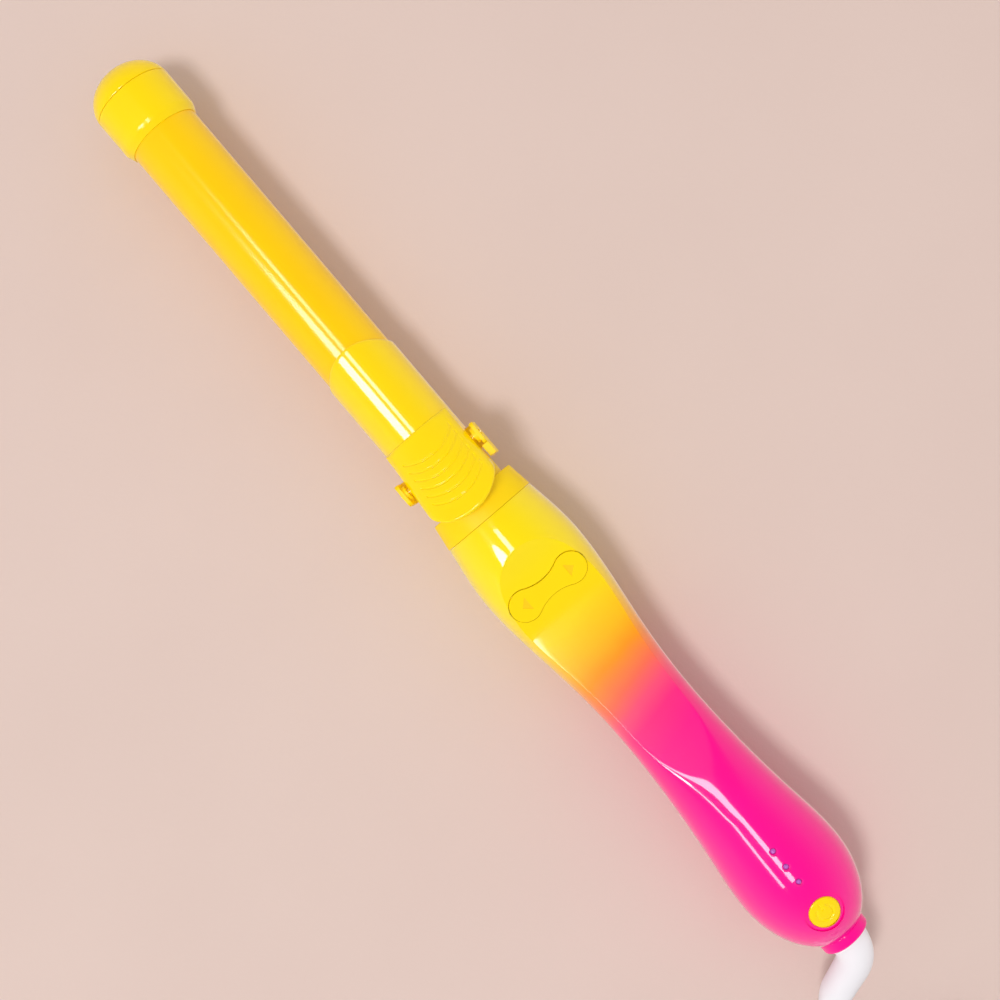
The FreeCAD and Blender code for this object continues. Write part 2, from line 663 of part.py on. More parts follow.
# Clamp spoon: half-round sheet with a rounded front end
x_lever0 = X_PIN - LEVER_FRONT
x_lever1 = X_PIN + LEVER_REAR
x_spoon1 = min(x_base, x_ear0) - CLEAR
x_spoon0 = x_spoon1 - SPOON_L
spoon = tube(SPOON_OUT, SPOON_IN, x_spoon0, x_spoon1)
spoon = spoon.common(block(x_spoon0, x_spoon1, -SPOON_OUT, SPOON_OUT, 0, SPOON_OUT))
round_end = upright(SPOON_END_R, x_spoon0 + SPOON_END_R, 0, 0, SPOON_OUT)
round_end = round_end.fuse(block(x_spoon0 + SPOON_END_R, x_spoon1, -SPOON_OUT, SPOON_OUT, 0, SPOON_OUT))
spoon = spoon.common(round_end)
x_rivet = x_lever0 + RIVET_BACK
rivet_z1 = math.sqrt(SPOON_OUT ** 2 - RIVET_Y ** 2) + RIVET_GRIP
rivets = both_sides(upright(RIVET_R, x_rivet, RIVET_Y, 0, rivet_z1))
inside = rod(SPOON_IN, x_spoon0, x_spoon1)
for_rivets = fuse(both_sides(upright(RIVET_R + SEAT, x_rivet, RIVET_Y, 0, rivet_z1 + SEAT)))
save("clamp_spoon", spoon.cut(for_rivets), HOME_TURN)
save("spoon_rivets", Part.makeCompound([r.cut(inside) for r in rivets]), HOME_TURN)

# Clamp lever: a moulded thumb pad that rises from the spoon over the neck ring
lever_front_top = SPOON_OUT + LEVER_FRONT_STEP
lever_rear_top = NECK_R + LEVER_REAR_RISE
lever_front_y = BASE_R - LEVER_FRONT_TUCK


def lever_block(inset_y, inset_z):
    """Crowned loft from the spoon's back to the pad's end, drawn in by the given walls."""
    wires = []
    for f in LEVER_SECTION_SHARES:
        x = x_lever0 + f * (x_lever1 - x_lever0)
        half = lever_front_y + f * (lever_pin_y - lever_front_y) - inset_y
        top = lever_front_top + f * (lever_rear_top - lever_front_top) - inset_z
        edge = top - LEVER_FRONT_CROWN - f * (LEVER_REAR_CROWN - LEVER_FRONT_CROWN)
        left, right = Vec(x, -half, edge), Vec(x, half, edge)
        foot_l, foot_r = Vec(x, -half, -OVER), Vec(x, half, -OVER)
        crown = Part.Arc(left, Vec(x, 0, top), right).toShape()
        sides = [Part.makeLine(right, foot_r), Part.makeLine(foot_r, foot_l), Part.makeLine(foot_l, left)]
        wires.append(Part.Wire([crown] + sides))
    return Part.makeLoft(wires, True, False)


lever = lever_block(0, 0)
eye_z = PIN_Z - LEVER_EYE_R
rear_z = lever_rear_top - LEVER_LIP
lever_roof = lever_rear_top + OVER
side_view = [(x_lever0 - OVER, eye_z), (X_PIN + LEVER_EYE_R, eye_z), (x_lever1 - LEVER_LIP, rear_z),
             (x_lever1 + OVER, rear_z), (x_lever1 + OVER, lever_roof), (x_lever0 - OVER, lever_roof)]
profile = polygon_face([Vec(x, -EAR_OUT_Y, z) for x, z in side_view])
lever = lever.common(profile.extrude(Vec(0, 2 * EAR_OUT_Y, 0)))
x_end = x_lever1 - LEVER_END_R
end_share = (x_end + LEVER_END_R / 2 - x_lever0) / (x_lever1 - x_lever0)
corner_y = lever_front_y + end_share * (lever_pin_y - lever_front_y) - LEVER_CORNER_R
corner_out = LEVER_END_R - LEVER_CORNER_R
corner_x = math.sqrt(corner_out ** 2 - corner_y ** 2)
spread = 2 * LEVER_END_R / corner_out
wedge = polygon_face([Vec(x_end, 0, 0), Vec(x_end + spread * corner_x, spread * corner_y, 0),
                      Vec(x_end + spread * corner_x, -spread * corner_y, 0)]).extrude(Vec(0, 0, lever_roof))
plan = fuse([block(x_lever0, x_end + corner_x, -EAR_OUT_Y, EAR_OUT_Y, 0, lever_roof),
             upright(LEVER_END_R, x_end, 0, 0, lever_roof).common(wedge)]
            + both_sides(upright(LEVER_CORNER_R, x_end + corner_x, corner_y, 0, lever_roof)))
lever = lever.common(plan)
hollow = lever_block(LEVER_SIDE_T, LEVER_TOP_T)
hollow = hollow.common(block(x_lever0 - OVER, x_lever1 - LEVER_LIP, -EAR_OUT_Y, EAR_OUT_Y, -OVER, lever_roof))
lever = lever.cut(hollow)
lever = lever.cut(rod(max(SPOON_OUT + SEAT, BASE_REACH), x_lever0 - OVER, x_lever1 + OVER))
lever = lever.cut(rod(BASE_REACH + CLEAR, x_spoon1, x_lever1 + OVER))
lever = lever.cut(fuse(both_sides(pin_bar(PIN_R + RUN, 0, EAR_OUT_Y))))
lever = lever.cut(for_rivets)
skin = lever_block(-OVER, -OVER).cut(lever_block(-OVER, GROOVE_DEPTH))
for i in range(GROOVE_COUNT):
    x_crown = X_PIN - GROOVE_FIRST + i * GROOVE_PITCH
    x_centre = x_crown - GROOVE_R
    arc_band = upright(GROOVE_R + GROOVE_W / 2, x_centre, 0, 0, lever_roof)
    arc_band = arc_band.cut(upright(GROOVE_R - GROOVE_W / 2, x_centre, 0, -OVER, lever_roof + OVER))
    reach = block(x_centre, x_crown + GROOVE_W, -GROOVE_HALF_L, GROOVE_HALF_L, 0, lever_roof)
    arc_band = arc_band.common(reach)
    lever = lever.cut(arc_band.common(skin))
save("clamp_lever", lever, HOME_TURN)

# Clamp spring: a compression coil under the pad, on quarter-turn biarcs
share = (x_spring - SPRING_R - x_lever0) / (x_lever1 - x_lever0)
spring_top = lever_front_top + share * (lever_rear_top - lever_front_top) - LEVER_TOP_T - SPRING_TOP_GAP
spring_top -= LEVER_REAR_CROWN * SPRING_R ** 2 / lever_pin_y ** 2 + SPRING_WIRE / 2
spring_low = seat_z + SEAT + SPRING_WIRE / 2
rise_per_turn = (spring_top - spring_low) / SPRING_TURNS
lean = math.atan2(rise_per_turn, 2 * math.pi * SPRING_R)
knots = []
for quarter in range(4 * SPRING_TURNS + 1):
    angle = math.pi / 2 * quarter
    point = Vec(x_spring + SPRING_R * math.cos(angle), SPRING_R * math.sin(angle),
                spring_low + rise_per_turn * quarter / 4)
    tangent = Vec(-math.sin(angle) * math.cos(lean), math.cos(angle) * math.cos(lean), math.sin(lean))
    knots.append((point, tangent))
coil = [e for (p0, t0), (p1, t1) in zip(knots, knots[1:]) for e in biarc(p0, t0, p1, t1)]
least_gap(coil, SPRING_WIRE, "clamp_spring")
spring = swept(coil, SPRING_WIRE / 2)
print_volume("clamp_spring", spring, coil, SPRING_WIRE)
save("clamp_spring", spring, HOME_TURN)

# Neck ring: conical ring that closes the handle and holds the front bush
bush_r = SHAFT_R + RUN + BUSH_WALL
x_ring_web = X_RING + BASE_ENTRY + CLEAR
spigot_r = NECK_R - WALL - SEAT
neck_ring = turned([(X_RING, BASE_REACH), (X_RING, RING_FRONT_R), (X_NECK - SEAT, NECK_R),
                    (X_NECK - SEAT, spigot_r), (X_NECK + RING_SPIGOT_L, spigot_r),
                    (X_NECK + RING_SPIGOT_L, BASE_REACH), (X_NECK, BASE_REACH), (X_NECK, bush_r + SEAT),
                    (x_ring_web, bush_r + SEAT), (x_ring_web, BASE_REACH)])
save("neck_ring", neck_ring)

# Sintered shaft bushes
save("front_bush", tube(bush_r, SHAFT_R + RUN, x_ring_web, X_NECK))
x_rear_bush = X_NECK + REAR_BUSH_START
save("rear_bush", tube(bush_r, SHAFT_R + RUN, x_rear_bush, x_rear_bush + REAR_BUSH_L))

# Rocker frame of reference: on the scoop's floor, tilted with it
rocker_z, rocker_slope = hermite_value(SCOOP_KNOTS, X_ROCKER)
rocker_tilt = -math.degrees(math.atan(rocker_slope))


def on_scoop(shape):
    """Moves a shape drawn on a flat floor at the origin onto the scoop at the rocker."""
    placed = shape.copy()
    placed.rotate(Vec(), Y_DIR, rocker_tilt)
    placed.translate(Vec(X_ROCKER, 0, rocker_z))
    return placed


def dog_bone(grow, z0, z1):
    """Two round lobes joined by a waist of two hollow arcs that touch both lobes."""
    half = ROCKER_NECK / 2
    bend = (LOBE_Y ** 2 + half ** 2 - LOBE_R ** 2) / (2 * (LOBE_R - half))
    meet = (LOBE_R + grow) / (LOBE_R + bend)
    x, y = meet * (half + bend), LOBE_Y - meet * LOBE_Y
    end = LOBE_Y + LOBE_R + grow
    stops = [Vec(x, y, z0), Vec(0, end, z0), Vec(-x, y, z0), Vec(-half - grow, 0, z0), Vec(-x, -y, z0),
             Vec(0, -end, z0), Vec(x, -y, z0), Vec(half + grow, 0, z0), Vec(x, y, z0)]
    arcs = [Part.Arc(a, b, c).toShape() for a, b, c in zip(stops[::2], stops[1::2], stops[2::2])]
    return Part.Face(Part.Wire(arcs)).extrude(Vec(0, 0, z1 - z0))


# Handle shells: two moulded halves that part on the axis plane
body = handle_solid(0).cut(scoop_cutter(0))
cavity = handle_solid(WALL).cut(scoop_cutter(WALL))
tail_hole = rod(COLLAR_NECK_R + SEAT, X_TAIL - COLLAR_NECK_L - WALL, X_TAIL + OVER)
casing = body.cut(cavity).cut(tail_hole)
upper = block(X_NECK, X_TAIL, -BULGE_R, BULGE_R, SEAT / 2, BULGE_R)
lower = block(X_NECK, X_TAIL, -BULGE_R, BULGE_R, -BULGE_R, -SEAT / 2)
bulkhead = tube(BULGE_R, bush_r + SEAT, x_rear_bush, x_rear_bush + REAR_BUSH_L).common(cavity)
screw_places = [(share_x(s), y * side) for s, y in zip(SHELL_SCREW_SHARES, SHELL_SCREW_Y)
                for side in ((1, -1) if y else (1,))]
pillars = fuse([upright(SHELL_BOSS_R, x, y, -BULGE_R, BULGE_R) for x, y in screw_places]).common(cavity)
power_posts = [upright(POST_R, share_x(s), y, POWER_BOARD_TOP, BULGE_R)
               for s in POWER_POST_SHARES for y in (-POWER_POST_Y, POWER_POST_Y)]
power_posts = fuse(power_posts).common(cavity)
rocker_posts = [on_scoop(upright(POST_R, x, y, -ROCKER_BOARD_DEPTH, 0))
                for x in (-ROCKER_POST_X, ROCKER_POST_X) for y in (-ROCKER_POST_Y, ROCKER_POST_Y)]
rocker_posts = fuse(rocker_posts).common(cavity)
front = fuse([shape.common(upper) for shape in (casing, bulkhead, pillars)] + [power_posts, rocker_posts])
rear = fuse([shape.common(lower) for shape in (casing, bulkhead, pillars)])
foot_y = FOOT_HALF_W - FOOT_R
for x in (share_x(FRONT_BULGE_SHARE), share_x(REAR_BULGE_SHARE)):
    foot = both_sides(upright(FOOT_R, x, foot_y, -BULGE_R - FOOT_PROUD, FOOT_ROOT - BULGE_R))
    foot.append(block(x - FOOT_R, x + FOOT_R, -foot_y, foot_y, -BULGE_R - FOOT_PROUD, FOOT_ROOT - BULGE_R))
    rear = rear.fuse(fuse(foot).removeSplitter())

# Openings in the front shell: rocker, power button with its dished seat, lights
front = front.cut(on_scoop(dog_bone(ROCKER_GAP, -ROCKER_BOARD_DEPTH, BULGE_R)))
dish_floor = body.copy()
dish_floor.translate(Vec(0, 0, -BUTTON_DISH_DEPTH))
front = front.cut(upright(BUTTON_DISH_R, X_BUTTON, 0, POWER_BOARD_TOP + WALL, BULGE_R).cut(dish_floor))
front = front.cut(upright(BUTTON_R + BUTTON_GAP, X_BUTTON, 0, BUTTON_FLANGE_Z, BULGE_R))
light_places = [share_x(s) for s in LIGHT_SHARES]
for x in light_places:
    front = front.cut(upright(LIGHT_R + SEAT, x, 0, BUTTON_FLANGE_Z, BULGE_R + OVER))

# Screw holes: blind in the front half, through and counterbored in the rear half
shell_screws = []
for x, y in screw_places:
    skin_z = -math.sqrt(handle_radius(x) ** 2 - y ** 2)
    seat_at = skin_z + SHELL_HEAD_SINK
    screw = upright(SHELL_SCREW_R, x, y, seat_at - SHELL_HEAD_T, SHELL_SCREW_GRIP)
    head = upright(SHELL_HEAD_R, x, y, seat_at - SHELL_HEAD_T, seat_at)
    shell_screws.append(screw.fuse(head).removeSplitter())
    front = front.cut(upright(SHELL_SCREW_R + SEAT, x, y, -OVER, SHELL_SCREW_GRIP + SEAT))
    rear = rear.cut(upright(SHELL_SCREW_R + SEAT, x, y, -BULGE_R - OVER, OVER))
    rear = rear.cut(upright(SHELL_HEAD_R + SEAT, x, y, -BULGE_R - OVER, seat_at + SEAT))
save("shell_screws", Part.makeCompound(shell_screws))

# Rotation rocker: tips left or right on its own pin, with an arrow on each lobe
rocker = dog_bone(0, ROCKER_PROUD - ROCKER_T, ROCKER_PROUD)
rib = block(-ROCKER_NECK / 2, ROCKER_NECK / 2, -ROCKER_RIB_W / 2, ROCKER_RIB_W / 2,
            -ROCKER_PIN_DEPTH - ROCKER_PIN_R, ROCKER_PROUD - ROCKER_T)
axle = cylinder(Vec(-ROCKER_PIN_L / 2, 0, -ROCKER_PIN_DEPTH), X_DIR, ROCKER_PIN_R, ROCKER_PIN_L)
feet = both_sides(upright(ROCKER_FOOT_R, 0, LOBE_Y, -ROCKER_FOOT_DEPTH, ROCKER_PROUD - ROCKER_T))
rocker = fuse([rocker, rib, axle] + feet)
arrow_base_y = LOBE_Y - ARROW_H / 2
arrow = polygon_face([Vec(0, LOBE_Y + ARROW_H / 2, ROCKER_PROUD),
                      Vec(-ARROW_BASE / 2, arrow_base_y, ROCKER_PROUD),
                      Vec(ARROW_BASE / 2, arrow_base_y, ROCKER_PROUD)])
arrow = arrow.extrude(Vec(0, 0, -ARROW_RELIEF))
rocker = rocker.cut(Part.makeCompound(both_sides(arrow)))
save("rotation_rocker", on_scoop(rocker))

# Rocker carrier, board and the two switches under the lobes
carrier_half = ROCKER_PIN_L / 2
deck = -ROCKER_BOARD_DEPTH + SEAT
carrier = [block(-carrier_half, carrier_half, -CARRIER_HALF_W, CARRIER_HALF_W, deck, deck + CARRIER_BASE_T)]
for x in (-carrier_half, carrier_half - CARRIER_POST_T):
    carrier.append(block(x, x + CARRIER_POST_T, -CARRIER_HALF_W, CARRIER_HALF_W, deck, -CARRIER_POST_TOP))
pin_hole = cylinder(Vec(-ROCKER_PIN_L, 0, -ROCKER_PIN_DEPTH), X_DIR, ROCKER_PIN_R + RUN, 2 * ROCKER_PIN_L)
save("rocker_carrier", on_scoop(fuse(carrier).cut(pin_hole)))
rocker_board = block(-ROCKER_BOARD_X, ROCKER_BOARD_X, -ROCKER_BOARD_Y, ROCKER_BOARD_Y,
                     -ROCKER_BOARD_DEPTH - BOARD_T, -ROCKER_BOARD_DEPTH)
switch_top = deck + SWITCH_T
rotation_switch = block(-SWITCH_HALF, SWITCH_HALF, LOBE_Y - SWITCH_HALF, LOBE_Y + SWITCH_HALF,
                        deck, switch_top)
rotation_switch = rotation_switch.fuse(upright(SWITCH_KNOB_R, 0, LOBE_Y, deck, switch_top + SWITCH_KNOB_H))
save("rotation_switches", on_scoop(Part.makeCompound(both_sides(rotation_switch.removeSplitter()))))

# Power button: a stem and flange under the shell, its face following the handle
button_top = body.copy()
button_top.translate(Vec(0, 0, -BUTTON_SINK))
button = upright(BUTTON_R, X_BUTTON, 0, BUTTON_FLANGE_Z - BUTTON_FLANGE_T, BULGE_R).common(button_top)
button_flange = upright(BUTTON_FLANGE_R, X_BUTTON, 0, BUTTON_FLANGE_Z - BUTTON_FLANGE_T, BUTTON_FLANGE_Z)
knob_top = POWER_BOARD_TOP + SEAT + POWER_SWITCH_T + POWER_KNOB_H
stem = upright(BUTTON_STEM_R, X_BUTTON, 0, knob_top + BUTTON_TRAVEL + CLEAR, BUTTON_FLANGE_Z)
save("power_button", fuse([button, button_flange, stem]))

# Power board with its switch, indicator lights and larger components
x_board0, x_board1 = [share_x(s) for s in POWER_BOARD_SHARES]
power_board = block(x_board0, x_board1, -POWER_BOARD_Y, POWER_BOARD_Y,
                    POWER_BOARD_TOP - SEAT - BOARD_T, POWER_BOARD_TOP - SEAT)
power_switch = block(X_BUTTON - POWER_SWITCH_HALF, X_BUTTON + POWER_SWITCH_HALF, -POWER_SWITCH_HALF,
                     POWER_SWITCH_HALF, POWER_BOARD_TOP, POWER_BOARD_TOP + POWER_SWITCH_T)
power_switch = power_switch.fuse(upright(BUTTON_STEM_R, X_BUTTON, 0, POWER_BOARD_TOP, knob_top))
save("power_switch", power_switch.removeSplitter())
lights, pipes = [], []
for x in light_places:
    led_top = POWER_BOARD_TOP + LED_T
    lights.append(block(x - LED_L / 2, x + LED_L / 2, -LED_W / 2, LED_W / 2, POWER_BOARD_TOP, led_top))
    top = handle_radius(x) + LIGHT_PROUD
    pipe = upright(LIGHT_R, x, 0, led_top + LED_GAP, top - LIGHT_R)
    pipes.append(pipe.fuse(Part.makeSphere(LIGHT_R, Vec(x, 0, top - LIGHT_R))).removeSplitter())
save("status_leds", Part.makeCompound(lights))
save("light_pipes", Part.makeCompound(pipes))
under = POWER_BOARD_TOP - BOARD_T - SEAT - SEAT
x_can = share_x(CAPACITOR_SHARE) - CAPACITOR_L / 2
capacitor = cylinder(Vec(x_can, 0, under - CAPACITOR_R), X_DIR, CAPACITOR_R, CAPACITOR_L)
x_relay = share_x(RELAY_SHARE) - RELAY_L / 2
relay = block(x_relay, x_relay + RELAY_L, -RELAY_W / 2, RELAY_W / 2, under - RELAY_H, under)
save("board_components", Part.makeCompound([capacitor, relay]))


# Board screws: through the boards into the front shell's posts
def board_screw(x, y, top):
    """Pan-head screw under a board whose upper face is at top; returns the screw and its hole."""
    low = top - BOARD_T - SEAT
    shank = upright(BOARD_SCREW_R, x, y, low - BOARD_HEAD_T, top + BOARD_SCREW_GRIP)
    screw = shank.fuse(upright(BOARD_HEAD_R, x, y, low - BOARD_HEAD_T, low)).removeSplitter()
    return screw, upright(BOARD_SCREW_R + SEAT, x, y, low - OVER, top + BOARD_SCREW_GRIP + SEAT)


board_screws = []
for s in POWER_POST_SHARES:
    for y in (-POWER_POST_Y, POWER_POST_Y):
        screw, hole = board_screw(share_x(s), y, POWER_BOARD_TOP - SEAT)
        board_screws.append(screw)
        power_board = power_board.cut(hole)
        front = front.cut(hole)
for x in (-ROCKER_POST_X, ROCKER_POST_X):
    for y in (-ROCKER_POST_Y, ROCKER_POST_Y):
        screw, hole = board_screw(x, y, -ROCKER_BOARD_DEPTH)
        board_screws.append(on_scoop(screw))
        rocker_board = rocker_board.cut(hole)
        front = front.cut(on_scoop(hole))
save("board_screws", Part.makeCompound(board_screws))
save("power_board", power_board)
save("rocker_board", on_scoop(rocker_board))
save("handle_front_shell", front)

# Gear motor and its cradle on the rear shell's wall
motor = cylinder(Vec(X_MOTOR, 0, MOTOR_Z), X_DIR, MOTOR_R, MOTOR_L)
motor = motor.fuse(cylinder(Vec(X_MOTOR - MOTOR_BOSS_L, 0, MOTOR_Z), X_DIR, MOTOR_BOSS_R, MOTOR_L))
bore_l = OVER + MOTOR_SHAFT_IN + CLEAR
motor_bore = cylinder(Vec(X_MOTOR - OVER, 0, MOTOR_Z), X_DIR, MOTOR_SHAFT_R + RUN, bore_l)
save("gear_motor", motor.cut(motor_bore).removeSplitter())
inner = handle_solid(WALL + SEAT)
cradle_half = MOTOR_R + CRADLE_SIDE
cradle = block(X_MOTOR + CRADLE_INSET, X_MOTOR + MOTOR_L - CRADLE_INSET, -cradle_half, cradle_half,
               -BULGE_R, MOTOR_Z + CRADLE_RISE).common(inner)
cradle = cradle.cut(cylinder(Vec(X_MOTOR, 0, MOTOR_Z), X_DIR, MOTOR_R + SEAT, MOTOR_L))
save("motor_cradle", cradle)

# Carbon brushes in a holder under the slip rings
brush_top = -(DRUM_R + SLIP_RING_T + RUN)
brushes, pockets = [], []
for x in ring_starts:
    middle = x + SLIP_RING_W / 2
    brush = block(middle - BRUSH_W / 2, middle + BRUSH_W / 2, -BRUSH_W / 2, BRUSH_W / 2,
                  brush_top - BRUSH_L, brush_top + RUN)
    brushes.append(brush.cut(rod(DRUM_R + SLIP_RING_T + RUN, x_drum, x_drum + DRUM_L)))
    pockets.append(block(middle - BRUSH_W / 2 - SEAT, middle + BRUSH_W / 2 + SEAT, -BRUSH_W / 2 - SEAT,
                         BRUSH_W / 2 + SEAT, brush_top - BRUSH_L - SEAT, brush_top + OVER))
save("carbon_brushes", Part.makeCompound(brushes))
x_holder0 = X_NECK + RING_SPIGOT_L + SEAT
holder_top = brush_top - HOLDER_WALL
holder = block(x_holder0, x_rear_bush - SEAT, -HOLDER_HALF_W, HOLDER_HALF_W, -BULGE_R, holder_top)
save("brush_holder", holder.common(inner).cut(Part.makeCompound(pockets)))

# Cord collar: closes the shells' tail and lets the strain relief swivel
save("handle_rear_shell", rear)
collar_bore = RELIEF_R + RUN
cord_collar = turned([(X_TAIL - COLLAR_NECK_L, collar_bore), (X_TAIL - COLLAR_NECK_L, COLLAR_NECK_R),
                      (X_TAIL + SEAT, COLLAR_NECK_R), (X_TAIL + SEAT, COLLAR_R),
                      (X_END - COLLAR_ROUND, COLLAR_R), (X_END, COLLAR_R - COLLAR_ROUND),
                      (X_END, collar_bore)])
save("cord_collar", cord_collar)

# Strain relief: swivels in the collar, turns aside at once and tapers to the cord
heading, pitch = math.radians(RELIEF_HEADING), math.radians(RELIEF_PITCH)
leg_dir = Vec(math.cos(heading) * math.cos(pitch), math.sin(heading) * math.cos(pitch), math.sin(pitch))
corner = Vec(X_END + RELIEF_CORNER, 0, 0)
bend_leg = RELIEF_BEND_R * math.tan(X_DIR.getAngle(leg_dir) / 2)
bend_start = corner - X_DIR * bend_leg
bend_end = corner + leg_dir * bend_leg
taper_start = corner + leg_dir * RELIEF_LEG
x_flange = X_TAIL - COLLAR_NECK_L - CLEAR
relief_path = [Part.makeLine(Vec(x_flange, 0, 0), bend_start), arc_between(bend_start, corner, bend_end),
               Part.makeLine(bend_end, taper_start)]
route = [Vec(x, y, z - AXIS_Z) for x, y, z in CORD_ROUTE]
first_run = (route[1] - route[0]).normalize()
taper_path = biarc(taper_start, leg_dir, route[0], first_run)
relief = swept(relief_path, RELIEF_R)
taper = swept(taper_path, RELIEF_R, RELIEF_TIP_R)
flange = rod(RELIEF_FLANGE_R, x_flange - RELIEF_FLANGE_T, x_flange)
save("strain_relief", fuse([flange, relief, taper]))

# Cord: the free lead from the strain relief to the hank
lead_path = rounded_route(route, "cord_lead")
lead = swept(lead_path, CORD_D / 2)
print_volume("cord_lead", lead, lead_path, CORD_D)
save("cord_lead", lead)

# Hank: loops folded along X in four layers, drawn in at the waist under a tie.
hank_start = route[-1]
x_fold0 = hank_start.x + CORD_D
x_fold1 = x_fold0 + HANK_RUN
x_waist = (x_fold0 + x_fold1) / 2
hank_y = hank_start.y + FOLD_R + HANK_STEP


def layer_z(layer):
    return hank_start.z + layer * LAYER_STEP


def run_knots(side, lane, z0, z1, waist_z):
    """Start, waist and end of one run, as points with the way the cord heads."""
    y = hank_y + side * (FOLD_R + lane * HANK_STEP)
    way = -side
    xs = (x_fold0, x_fold1) if way > 0 else (x_fold1, x_fold0)
    aim = Vec(way, 0, 0)
    waist = Vec(x_waist, y - side * WAIST_DRAW, waist_z)
    return [(Vec(xs[0], y, z0), aim), (waist, aim), (Vec(xs[1], y, z1), aim)]


knots = [(hank_start, X_DIR)]
for side, lane, layer0, layer1 in HANK_RUN_SHARES:
    z0, z1 = layer_z(layer0), layer_z(layer1)
    knots += run_knots(side, lane, z0, z1, (z0 + z1) / 2)
top_z = layer_z(3)
knots += run_knots(1, 1, top_z, layer_z(4), top_z)
last_y = hank_y + FOLD_R + HANK_STEP - 2 * FOLD_R
plug_z = top_z + CORD_D / 2 + CLEAR + PLUG_H / 2
plug_start = Vec(x_fold0 + PLUG_BACK, hank_y, plug_z)
knots.append((Vec(x_fold0, last_y, layer_z(4)), X_DIR))
knots.append((plug_start - X_DIR * CORD_D, X_DIR))
knots.append((plug_start, X_DIR))
hank_path = []
for (p0, t0), (p1, t1) in zip(knots, knots[1:]):
    if t0.cross(p1 - p0).Length < FLAT_SHARE * (p1 - p0).Length:
        hank_path.append(Part.makeLine(p0, p1))
    else:
        hank_path += biarc(p0, t0, p1, t1)
least_gap(hank_path, CORD_D, "cord_hank")
hank = swept(hank_path, CORD_D / 2)
print_volume("cord_hank", hank, hank_path, CORD_D)
save("cord_hank", hank)

# Tie: a flat strap round the waist of the four layers
reach = CORD_D / 2 + CLEAR
tie_y0 = hank_y - FOLD_R - HANK_STEP + WAIST_DRAW - reach
tie_y1 = hank_y + FOLD_R + 2 * HANK_STEP - WAIST_DRAW + reach
tie_z0 = layer_z(0) - reach
tie_z1 = top_z + reach


def strap_block(grow, half_w):
    """Rounded block round the hank's waist."""
    outline = block(x_waist - half_w, x_waist + half_w, tie_y0 - grow, tie_y1 + grow,
                    tie_z0 - grow, tie_z1 + grow)
    long_edges = [e for e in outline.Edges if abs(e.tangentAt(e.FirstParameter).x) > 1 - SEAT]
    return outline.makeFillet(min(TIE_CORNER_R, reach) + grow, long_edges)


tie = strap_block(TIE_T, TIE_W / 2).cut(strap_block(0, TIE_W / 2 + OVER))
save("cord_tie", tie)

# Plug: moulded two-blade plug lying on the hank
x_plug = plug_start.x + PLUG_NOSE_L
x_face = plug_start.x + PLUG_L
grip = block(x_plug, x_face, hank_y - PLUG_W / 2, hank_y + PLUG_W / 2,
             plug_z - PLUG_H / 2, plug_z + PLUG_H / 2)
grip = grip.makeFillet(PLUG_ROUND, [e for e in grip.Edges if e.CenterOfMass.x < x_face - SEAT])
nose = Part.makeCone(PLUG_NOSE_R, PLUG_H / 2 - PLUG_ROUND / 2, PLUG_NOSE_L + PLUG_ROUND, plug_start, X_DIR)
plug = grip.fuse(nose).removeSplitter()
blades, blade_slots = [], []
for side in (-1, 1):
    y = hank_y + side * BLADE_SPACING / 2
    blade = block(x_face - BLADE_ROOT, x_face + BLADE_L, y - BLADE_T / 2, y + BLADE_T / 2,
                  plug_z - BLADE_W / 2, plug_z + BLADE_W / 2)
    nose_edges = [e for e in blade.Edges
                  if e.CenterOfMass.x > x_face + BLADE_L - SEAT and abs(e.Length - BLADE_T) < SEAT]
    blades.append(blade.makeFillet(BLADE_ROUND, nose_edges))
    half_t, half_w = BLADE_T / 2 + SEAT, BLADE_W / 2 + SEAT
    blade_slots.append(block(x_face - BLADE_ROOT - SEAT, x_face + OVER, y - half_t, y + half_t,
                             plug_z - half_w, plug_z + half_w))
save("plug_body", plug.cut(Part.makeCompound(blade_slots)))
save("plug_blades", Part.makeCompound(blades))
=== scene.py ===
import math

import bmesh
import bpy
import numpy as np
from mathutils import Matrix, Vector


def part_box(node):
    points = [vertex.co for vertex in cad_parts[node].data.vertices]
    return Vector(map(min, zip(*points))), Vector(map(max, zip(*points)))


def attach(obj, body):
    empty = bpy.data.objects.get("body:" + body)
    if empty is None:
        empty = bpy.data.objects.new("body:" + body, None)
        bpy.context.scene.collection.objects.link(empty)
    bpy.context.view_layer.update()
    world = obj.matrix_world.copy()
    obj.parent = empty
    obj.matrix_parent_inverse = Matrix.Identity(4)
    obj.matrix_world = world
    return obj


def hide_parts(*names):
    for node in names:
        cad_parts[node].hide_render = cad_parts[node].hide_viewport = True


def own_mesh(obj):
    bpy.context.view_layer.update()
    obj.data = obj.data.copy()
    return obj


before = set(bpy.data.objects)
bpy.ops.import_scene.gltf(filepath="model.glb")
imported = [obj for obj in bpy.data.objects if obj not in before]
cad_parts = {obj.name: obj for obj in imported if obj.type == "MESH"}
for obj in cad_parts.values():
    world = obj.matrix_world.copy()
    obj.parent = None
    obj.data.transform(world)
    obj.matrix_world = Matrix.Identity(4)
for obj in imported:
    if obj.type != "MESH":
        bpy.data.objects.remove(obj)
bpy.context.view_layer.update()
scene = bpy.context.scene
scene.view_settings.view_transform = "Standard"

# Table top: a pale rosy matt board under the iron, a little cloudy in tone.
# It is only the stage, so it carries no detail that would draw the eye.
MM = 0.001
BOARD_HALF, BOARD_LINES, BOARD_Z = 2500, 9, -0.1


